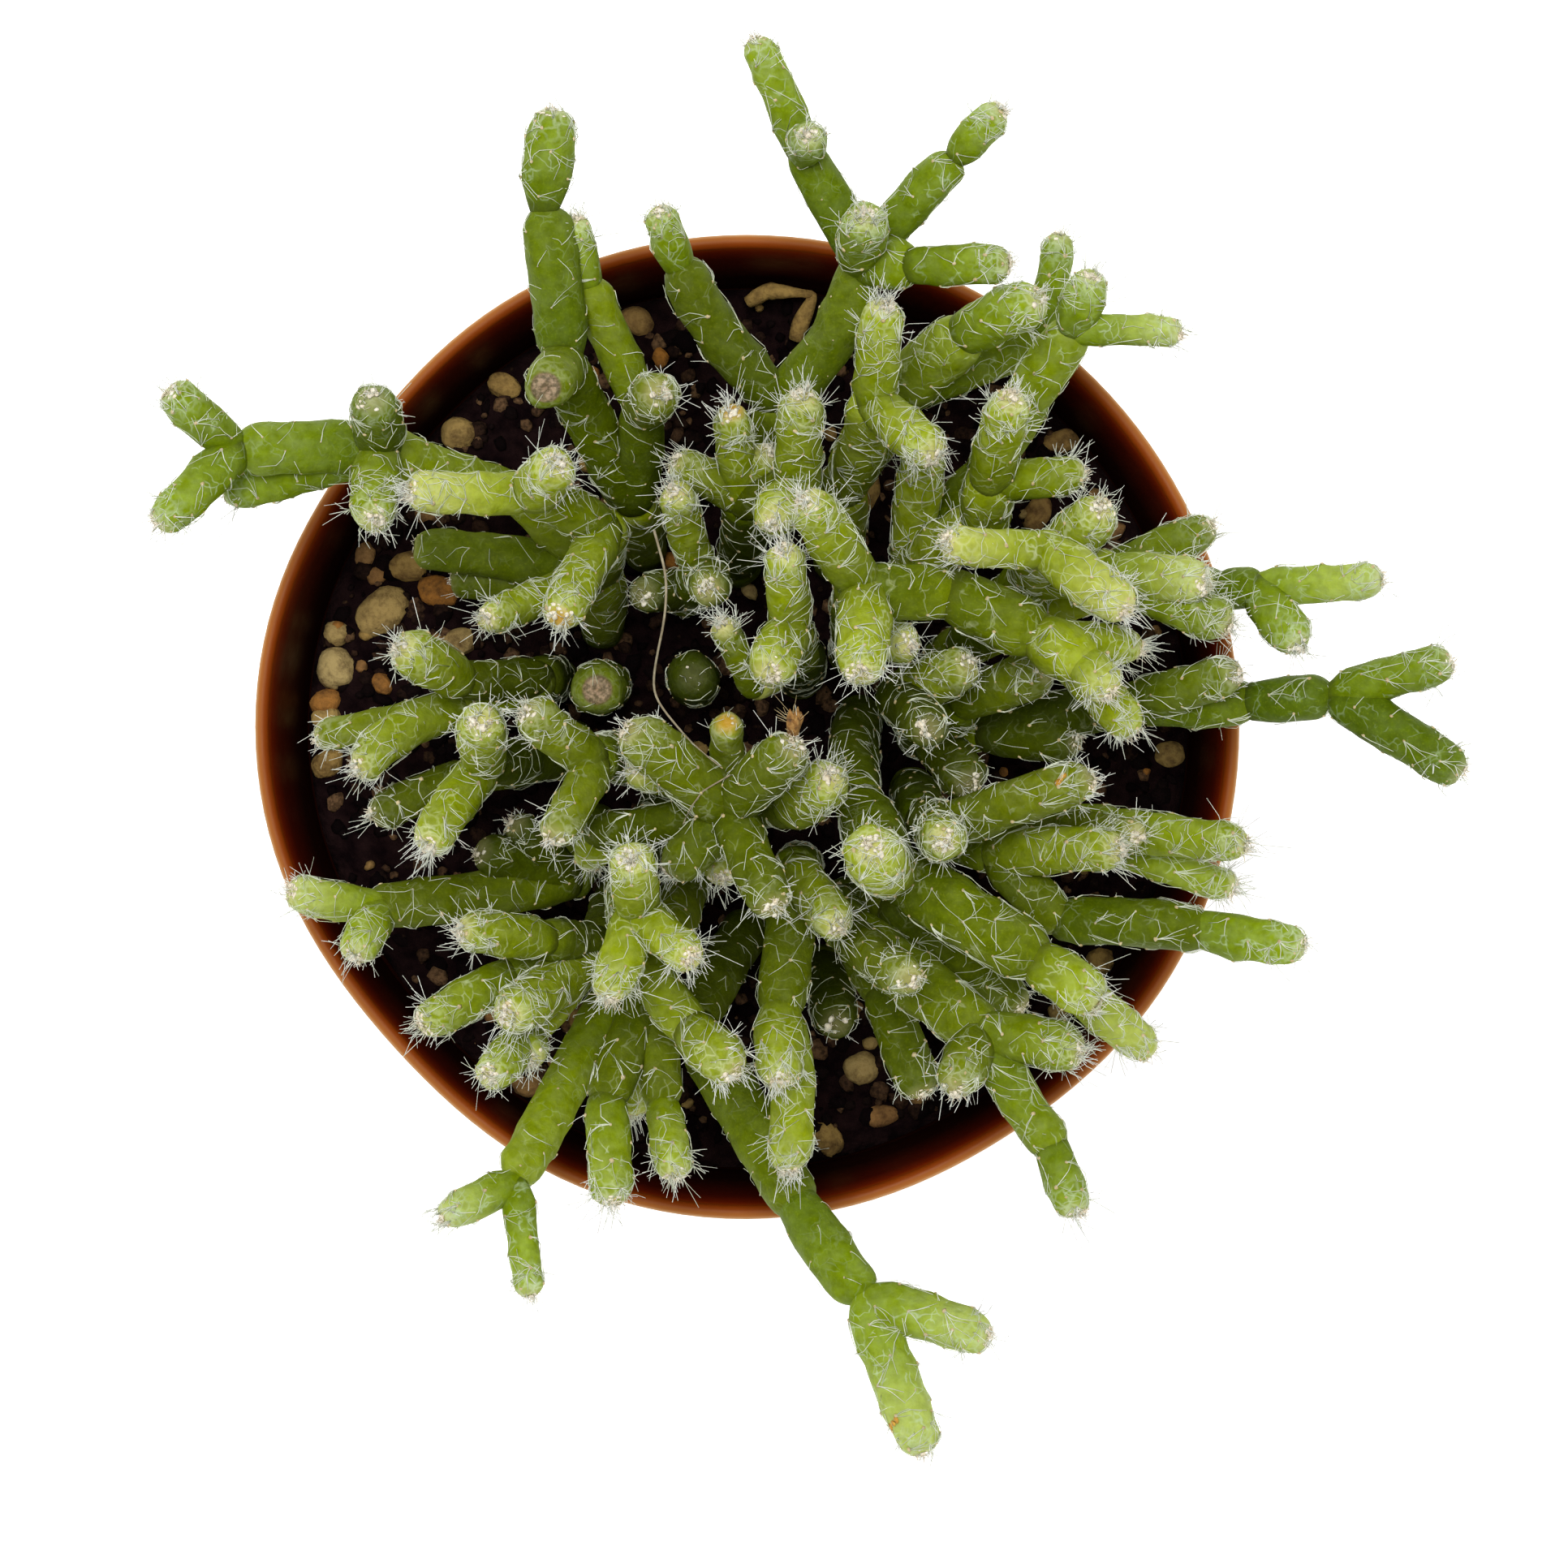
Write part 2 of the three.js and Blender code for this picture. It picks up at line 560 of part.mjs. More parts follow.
function rootHole(place) {
  const low = SOIL_TOP - ROOT_DEPTH - FIT_GAP;
  const high = SOIL_TOP + ROOT_CLEAR;
  const rings = rootRings(place, low, high, ROOT_RADIUS + FIT_GAP / Math.cos(Math.PI / STEM_SIDES));
  return ringSolid(rings, place.clone().setZ(low), place.clone().setZ(high));
}

// A line of stems as one body, drawn in to a neck at each joint and round at its tip.
function lineSolid({ rooted, stems }) {
  const first = stems[0];
  const start = alongStem(first, 0);
  const level = new THREE.Vector3(-start.direction.y, start.direction.x, 0.2);
  const across = rooted ? ROOT_ACROSS.clone() : level;
  const rings = [];
  let low;
  if (rooted) {
    low = first.from.clone().setZ(SOIL_TOP - ROOT_DEPTH);
    rings.push(...rootRings(low, low.z, first.from.z, ROOT_RADIUS));
  } else {
    low = start.at.clone().addScaledVector(start.direction, -0.1 * first.width);
    rings.push(stemRing(low, start.direction, 0.4 * NECK * first.width, across));
  }
  stems.forEach((stem, i) => {
    const length = stem.from.distanceTo(stem.to);
    const radius = 0.53 * stem.width;
    const place = (distance, share) => {
      const { at, direction } = alongStem(stem, distance / length);
      rings.push(stemRing(at, direction, radius * share, across));
    };
    place(Math.min(0.7 * stem.width, 0.35 * length), 1);
    if (stem.bow) place(0.5 * length, 1);
    place(length - ROUND_END * stem.width, 0.97);
    const next = stems[i + 1];
    if (next) {
      const direction = alongStem(stem, 1).direction.add(alongStem(next, 0).direction).normalize();
      rings.push(stemRing(stem.to, direction, NECK * 0.53 * Math.min(stem.width, next.width), across));
    } else {
      place(length - 0.1 * stem.width, 0.62);
    }
  });
  return ringSolid(rings, low, stems.at(-1).to);
}

// How far a point lies outside the nearest stem of the given plants.
function clearOf(point, plants) {
  let least = Infinity;
  const line = new THREE.Line3();
  const nearest = new THREE.Vector3();
  for (const stem of plants.flatMap((plant) => plant.stems)) {
    line.set(stem.from, stem.to).closestPointToPoint(point, true, nearest);
    least = Math.min(least, point.distanceTo(nearest) - 0.53 * stem.width - Math.abs(stem.bow));
  }
  return least;
}

// A stiff three-sided bristle that leans out from a growing tip.
function bristleSolid(root, direction) {
  const bristle = new THREE.ConeGeometry(BRISTLE_RADIUS, BRISTLE_LENGTH + 0.5, 3);
  bristle.translate(0, BRISTLE_LENGTH / 2 - 0.25, 0);
  bristle.applyQuaternion(new THREE.Quaternion().setFromUnitVectors(new THREE.Vector3(0, 1, 0), direction));
  bristle.translate(root.x, root.y, root.z);
  return solidOf(bristle);
}

// Bristles round a plant's growing tips, each one turned until its point is clear of the others.
function bristlesOf(plant, others, random) {
  const bristles = [];
  for (const stem of plant.lines.map(({ stems }) => stems.at(-1))) {
    const { at, direction } = alongStem(stem, 1);
    for (let i = 0; i < BRISTLES_PER_TIP; i++) {
      const start = 2 * Math.PI * (i / BRISTLES_PER_TIP + 0.3 * random());
      for (let attempt = 0; attempt < BRISTLE_TRIES; attempt++) {
        const across = new THREE.Vector3(Math.cos(start + attempt), Math.sin(start + attempt), 0.3);
        const out = stemRing(new THREE.Vector3(), direction, 1, across)[0];
        const root = at.clone().addScaledVector(direction, -0.2 * stem.width);
        root.addScaledVector(out, 0.3 * stem.width);
        const lean = out.clone().addScaledVector(direction, 0.9).normalize();
        const point = root.clone().addScaledVector(lean, BRISTLE_LENGTH);
        if (clearOf(point, others) < BRISTLE_CLEAR) continue;
        bristles.push(bristleSolid(root, lean));
        break;
      }
    }
  }
  return bristles;
}

// ---------------------------------------------------------------- the object

function named(name, solid, colour, roughness) {
  const material = new THREE.MeshStandardMaterial({ color: colour, roughness, metalness: 0 });
  const mesh = new THREE.Mesh(geometryOf(solid), material);
  mesh.name = name;
  return mesh;
}

const plants = Object.entries(PLANTS).map(([name, chains]) => ({ name, ...readPlant(chains) }));
const group = new THREE.Group();
group.add(named("pot", potSolid(), COLOURS.pot, 0.45));

let soil = soilSolid();
soil = wasm.Manifold.union([soil, ...GRAINS.map(grainSolid)]);
for (const place of plants.flatMap((plant) => plant.roots)) soil = soil.subtract(rootHole(place));
group.add(named("soil", soil, COLOURS.soil, 0.95));

const random = randomStream(41);
for (const plant of plants) {
  const others = plants.filter((other) => other !== plant);
  const pieces = [...plant.lines.map(lineSolid), ...bristlesOf(plant, others, random)];
  const name = "plant_" + plant.name;
  group.add(named(name, wasm.Manifold.union(pieces), COLOURS.stem, 0.6));
}

export default group;
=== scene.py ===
# %% [markdown]
# # A hairy mistletoe cactus in its nursery pot
#
# The real thing is a clump of jointed succulent stems that grow out of dark potting soil
# in a small thin plastic pot. Each stem is a smooth sausage a few millimetres wide. It
# carries woolly dots, called areoles, and each dot holds a few long white hairs.
#
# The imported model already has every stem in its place, as plain six-sided solids. This
# script loads it, and puts a finer piece over each of its nodes. The lengths of the
# plant and its pot are in millimetres, and are turned into metres when a mesh is made.
# The lamps and the floor are placed in metres.

# %% Load the frame
import math

import bpy
import numpy as np
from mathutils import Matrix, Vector, noise
from mathutils.bvhtree import BVHTree


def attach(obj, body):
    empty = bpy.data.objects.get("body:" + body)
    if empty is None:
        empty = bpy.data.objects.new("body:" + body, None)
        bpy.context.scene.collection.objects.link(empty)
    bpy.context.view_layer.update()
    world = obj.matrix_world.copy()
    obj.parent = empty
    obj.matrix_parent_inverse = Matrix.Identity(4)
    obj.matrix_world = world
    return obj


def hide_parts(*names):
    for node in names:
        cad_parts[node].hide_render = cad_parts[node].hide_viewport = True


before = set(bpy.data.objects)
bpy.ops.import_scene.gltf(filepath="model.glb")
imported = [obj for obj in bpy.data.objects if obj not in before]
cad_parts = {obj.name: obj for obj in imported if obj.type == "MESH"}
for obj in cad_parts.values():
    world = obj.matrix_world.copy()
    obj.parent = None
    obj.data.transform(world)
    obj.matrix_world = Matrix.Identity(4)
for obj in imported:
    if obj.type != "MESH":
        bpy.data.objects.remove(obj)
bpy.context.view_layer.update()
bpy.ops.object.select_all(action="DESELECT")
print("nodes in the frame:", len(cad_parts))

# %% [markdown]
# ## Camera, light and floor
#
# The plant is looked at from straight above. A camera with no turn looks down, with +Y
# upwards in the picture, so it only needs its place and a lens. The lens follows from
# how much of the plane of the pot's mouth the picture takes in.
#
# One large soft lamp over the plant and a pale sky all round give even studio light.
# Overhead the sky is kept weaker than the lamp, so that the gaps between the stems stay
# dark. It is white at the horizon, where it meets the white floor without a line.

# %% Camera
MM = 0.001
EYE_X = 3.2
EYE_Y = -4.9
EYE_ABOVE_MOUTH = 400
POT_HEIGHT = 76
VIEW_WIDTH = 135.1  # in the plane of the pot's mouth
SENSOR = 36
CLIP = (0.01, 10)  # metres

eye_place = (EYE_X * MM, EYE_Y * MM, (POT_HEIGHT + EYE_ABOVE_MOUTH) * MM)
bpy.ops.object.camera_add(location=eye_place, rotation=(0, 0, 0))
camera = bpy.context.object
camera.data.sensor_width = SENSOR
camera.data.lens = SENSOR * EYE_ABOVE_MOUTH / VIEW_WIDTH
camera.data.clip_start, camera.data.clip_end = CLIP
bpy.context.scene.camera = camera
bpy.context.scene.view_settings.view_transform = "Standard"
print("lens in millimetres:", round(camera.data.lens, 1))

# %% Lamps and sky
PLANT_MIDDLE = Vector((0, 0, 0.09))
SKY_OVERHEAD = 0.28
SKY_AT_HORIZON = 1.0
SKY_FADE = (0.04, 0.3)  # how far up the sky it starts to fade, and how far up it ends


def soft_lamp(name, place, size, power):
    bpy.ops.object.light_add(type="AREA", location=place)
    lamp = bpy.context.object
    lamp.name = name
    lamp.data.size = size
    lamp.data.energy = power
    lamp.rotation_euler = (PLANT_MIDDLE - lamp.location).to_track_quat("-Z", "Y").to_euler()


soft_lamp("lamp_over", place=(-0.1, 0.16, 1.2), size=0.5, power=11.8)
soft_lamp("lamp_side", place=(0.8, -0.7, 0.7), size=0.8, power=1.5)

sky = bpy.data.worlds.new("studio_sky")
sky.use_nodes = True
sky_nodes = sky.node_tree.nodes
direction = sky_nodes.new("ShaderNodeTexCoord")
upward = sky_nodes.new("ShaderNodeSeparateXYZ")
fade = sky_nodes.new("ShaderNodeMapRange")
fade.inputs["From Min"].default_value, fade.inputs["From Max"].default_value = SKY_FADE
fade.inputs["To Min"].default_value = SKY_AT_HORIZON
fade.inputs["To Max"].default_value = SKY_OVERHEAD
sky.node_tree.links.new(direction.outputs["Generated"], upward.inputs[0])
sky.node_tree.links.new(upward.outputs["Z"], fade.inputs["Value"])
sky.node_tree.links.new(fade.outputs[0], sky_nodes["Background"].inputs["Strength"])
sky_nodes["Background"].inputs["Color"].default_value = (1, 1, 1, 1)
bpy.context.scene.world = sky

# %% Floor
FLOOR_SIZE = 6
FLOOR_DEPTH = 0.0001  # keeps it from lying in the same plane as the pot's foot
FLOOR_PALENESS = 0.93
FLOOR_GLOW = 0.7

bpy.ops.mesh.primitive_plane_add(size=FLOOR_SIZE, location=(0, 0, -FLOOR_DEPTH))
floor = bpy.context.object
floor.name = "studio_floor"
floor_paint = bpy.data.materials.new("floor_paint")
floor_paint.use_nodes = True
paint = floor_paint.node_tree.nodes["Principled BSDF"]
paint.inputs["Base Color"].default_value = (FLOOR_PALENESS, FLOOR_PALENESS, FLOOR_PALENESS, 1)
paint.inputs["Roughness"].default_value = 0.9
paint.inputs["Emission Color"].default_value = (1, 1, 1, 1)
paint.inputs["Emission Strength"].default_value = FLOOR_GLOW
floor.data.materials.append(floor_paint)
print("floor side in metres:", FLOOR_SIZE)

# %% [markdown]
# ## Helpers for the meshes
#
# Most things here are tubes of some kind: a pot, a stem, a hair. By hand you would draw
# a ring, extrude it, scale the new ring, and go on. `extruded` does just that from a
# list of stations, each with a height and a radius, and closes both ends with a fan.
#
# What repeats hundreds of times is modelled once like this. Its points are then read,
# and each copy gets them laid along its own line, so that every copy has its own shape.

# %% Ring by ring
TINY = 1e-6


def select_pole(piece, height):
    """Selects only the fan's middle point at that height."""
    bpy.ops.object.mode_set(mode="OBJECT")
    for vertex in piece.data.vertices:
        x, y, z = vertex.co
        vertex.select = math.hypot(x, y) < TINY and abs(z - height) < TINY
    bpy.ops.object.mode_set(mode="EDIT")


def extruded(name, sides, stations, low_pole=None, high_pole=None):
    """A closed tube round the Z axis through stations of (height, radius)."""
    height, radius = stations[0]
    bpy.ops.mesh.primitive_circle_add(
        vertices=sides, radius=radius, fill_type="TRIFAN", location=(0, 0, height)
    )
    piece = bpy.context.object
    piece.name = name
    bpy.ops.object.transform_apply(location=True)
    bpy.ops.object.mode_set(mode="EDIT")
    bpy.ops.mesh.select_mode(type="VERT")
    bpy.ops.mesh.select_all(action="SELECT")
    for new_height, new_radius in stations[1:]:
        rise = (0, 0, new_height - height)
        bpy.ops.mesh.extrude_region_move(TRANSFORM_OT_translate={"value": rise})
        grow = new_radius / radius
        bpy.ops.transform.resize(value=(grow, grow, 1), center_override=(0, 0, new_height))
        height, radius = new_height, new_radius
    for pole, at in ((low_pole, stations[0][0]), (high_pole, height)):
        if pole is not None:
            select_pole(piece, at)
            bpy.ops.transform.translate(value=(0, 0, pole - at))
    bpy.ops.mesh.select_all(action="SELECT")
    bpy.ops.mesh.normals_make_consistent(inside=False)
    bpy.ops.mesh.quads_convert_to_tris()
    bpy.ops.object.mode_set(mode="OBJECT")
    return piece


# %% Read a master, and make a mesh of its copies
def read_points(piece):
    flat = np.empty(3 * len(piece.data.vertices))
    piece.data.vertices.foreach_get("co", flat)
    return flat.reshape(-1, 3)


def read_master(piece):
    """The points and triangles of a master, which is then removed."""
    points = read_points(piece)
    faces = np.array([tuple(face.vertices) for face in piece.data.polygons])
    mesh = piece.data
    bpy.data.objects.remove(piece)
    bpy.data.meshes.remove(mesh)
    return points, faces


def all_copies(points, faces):
    """One list of points and one of triangles, from copies of shape (copies, points, 3)."""
    first = np.arange(len(points))[:, None, None] * points.shape[1]
    return points.reshape(-1, 3), (faces[None] + first).reshape(-1, 3)


def move_points(piece, points):
    """Gives a piece new places for its points, in millimetres."""
    piece.data.vertices.foreach_set("co", (points * MM).ravel())
    piece.data.update()


def keep_number(mesh, title, values):
    """Keeps a number with each point, for a finish to read."""
    layer = mesh.attributes.new(title, "FLOAT", "POINT")
    layer.data.foreach_set("value", np.ascontiguousarray(values, dtype=np.float32))


def join_laid(laid):
    """Joins laid pieces, each a tuple of points, triangles and a dictionary of numbers."""
    first, faces = 0, []
    for points, triangles, _ in laid:
        faces.append(triangles + first)
        first += len(points)
    numbers = {title: np.concatenate([each[2][title] for each in laid]) for title in laid[0][2]}
    return np.concatenate([each[0] for each in laid]), np.concatenate(faces), numbers


def piece_of(name, laid, *finishes):
    """A new object from laid points in millimetres, triangles, and numbers if it has any."""
    points, faces, *numbers = laid
    mesh = bpy.data.meshes.new(name)
    mesh.from_pydata(points * MM, [], faces)
    mesh.polygons.foreach_set("use_smooth", [True] * len(mesh.polygons))
    for title, values in (numbers[0] if numbers else {}).items():
        keep_number(mesh, title, values)
    for finish in finishes:
        mesh.materials.append(finish.material)
    mesh.update()
    piece = bpy.data.objects.new(name, mesh)
    bpy.context.scene.collection.objects.link(piece)
    return piece


def unit(vectors):
    return vectors / np.linalg.norm(vectors, axis=-1, keepdims=True)


def smoothstep(x, low, high):
    t = np.clip((x - low) / (high - low), 0, 1)
    return t * t * (3 - 2 * t)


triangles_made = {}


def add_piece(piece, slot, *nodes):
    """Counts a finished piece, and lets it ride in place of its nodes. Its slot is not used."""
    piece.data.calc_loop_triangles()
    triangles_made[piece.name] = len(piece.data.loop_triangles)
    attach(piece, "root")
    if nodes:
        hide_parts(*nodes)


# %% [markdown]
# ## Helpers for the finishes
#
# Every finish is a Principled shader fed by noise that reads Object coordinates, so the
# pattern stays on the piece from any side. `Finish` only saves lines. It adds a node and
# fills its sockets, maps a number to a colour, and keeps the colour that has been laid so
# far, so that a finish is built up as a painter does it: a first coat, and then thin
# layers of colour over it, each with a share that says where it shows.

# %% A finish and its nodes
NET_SWAY = 0.6  # how far the lines of a net sway, in widths of its meshes


class Finish:
    """A Principled finish. Most of its methods add a node and return its output."""

    def __init__(self, name, roughness, gloss=0.5):
        self.material = bpy.data.materials.new(name)
        self.material.use_nodes = True
        self.tree = self.material.node_tree
        self.shader = self.tree.nodes["Principled BSDF"]
        self.colour = None
        self.shader.inputs["Roughness"].default_value = roughness
        self.shader.inputs["Specular IOR Level"].default_value = gloss

    def plug(self, value, socket):
        """Links an output to a socket, or writes a plain value or colour into it."""
        if hasattr(value, "is_output"):
            self.tree.links.new(value, socket)
        elif socket.type == "RGBA":
            socket.default_value = (*value, 1)
        else:
            socket.default_value = value

    def node(self, kind, **values):
        """Adds a node and fills its sockets, with _ for each space in their names."""
        made = self.tree.nodes.new("ShaderNode" + kind)
        for title, value in values.items():
            self.plug(value, made.inputs[title.replace("_", " ")])
        return made

    def read(self, title):
        """A number that the points keep."""
        made = self.node("Attribute")
        made.attribute_name = title
        return made.outputs["Fac"]

    def place(self):
        """Object coordinates, in metres."""
        return self.node("TexCoord").outputs["Object"]

    def noise(self, size, detail=3, roughness=0.55):
        """Noise whose features are about that many millimetres across."""
        look = {"Scale": 1 / (size * MM), "Detail": detail, "Roughness": roughness}
        return self.node("TexNoise", Vector=self.place(), **look).outputs[0]

    def net(self, size):
        """How far a place is from the lines of an uneven net with meshes of that width."""
        place, uneven = self.place(), NET_SWAY * size * MM
        wobble = self.node("TexNoise", Vector=place, Scale=1 / uneven)
        shift = self.node("VectorMath")
        shift.operation = "MULTIPLY_ADD"
        for value, socket in zip((wobble.outputs["Color"], (uneven,) * 3, place), shift.inputs):
            self.plug(value, socket)
        cells = self.node("TexVoronoi", Vector=shift.outputs[0], Scale=1 / (size * MM))
        cells.feature = "DISTANCE_TO_EDGE"
        return cells.outputs["Distance"]

    def ramp(self, value, *stops):
        """Maps a number through stops of (position, colour), or (position, level of grey)."""
        made = self.node("ValToRGB")
        band = made.color_ramp
        band.elements[0].position, band.elements[1].position = stops[0][0], stops[-1][0]
        for position, _ in stops[1:-1]:
            band.elements.new(position)
        for element, (_, colour) in zip(band.elements, stops):
            element.color = (*colour, 1) if isinstance(colour, tuple) else (colour,) * 3 + (1,)
        self.plug(value, made.inputs[0])
        return made.outputs[0]

    def by(self, title, *stops):
        """Maps a number that the points keep."""
        return self.ramp(self.read(title), *stops)

    def speckle(self, size, *stops, **kind):
        """Maps noise, so that the colours lie in specks of about that size."""
        return self.ramp(self.noise(size, **kind), *stops)

    def mix(self, share, first, second, blend="MIX"):
        """The first colour with a share of the second over it."""
        made = self.node("Mix")
        made.data_type = "RGBA"
        made.blend_type = blend
        for value, at in ((share, 0), (first, 6), (second, 7)):
            self.plug(value, made.inputs[at])
        return made.outputs[2]

    def times(self, first, second):
        return self.mix(1.0, first, second, "MULTIPLY")

    def coat(self, colour):
        """Makes this the colour of the finish."""
        self.colour = colour
        self.plug(colour, self.shader.inputs["Base Color"])

    def layer(self, share, colour):
        """Lays a colour over what is there, by a share from 0 to 1."""
        self.coat(self.mix(share, self.colour, colour))

    def shade(self, colour):
        """Multiplies what is there by a colour."""
        self.coat(self.times(self.colour, colour))

    def bump(self, height, depth):
        """Bump from a height output, with its full depth in millimetres."""
        made = self.node("Bump", Strength=1, Distance=depth * MM, Height=height)
        self.plug(made.outputs[0], self.shader.inputs["Normal"])


def speckled(name, roughness, size, *stops, gloss=0.5, **kind):
    """A finish whose one coat varies from place to place."""
    made = Finish(name, roughness, gloss)
    made.coat(made.speckle(size, *stops, **kind))
    return made


# %% [markdown]
# ## Where the stems are
#
# Each plant is a set of chains of joints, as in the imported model. A place is given as
# it is seen from the camera at the height of the pot's mouth. A stem that stands higher
# looks further out than it is, so `seen` brings it back towards the camera's axis.

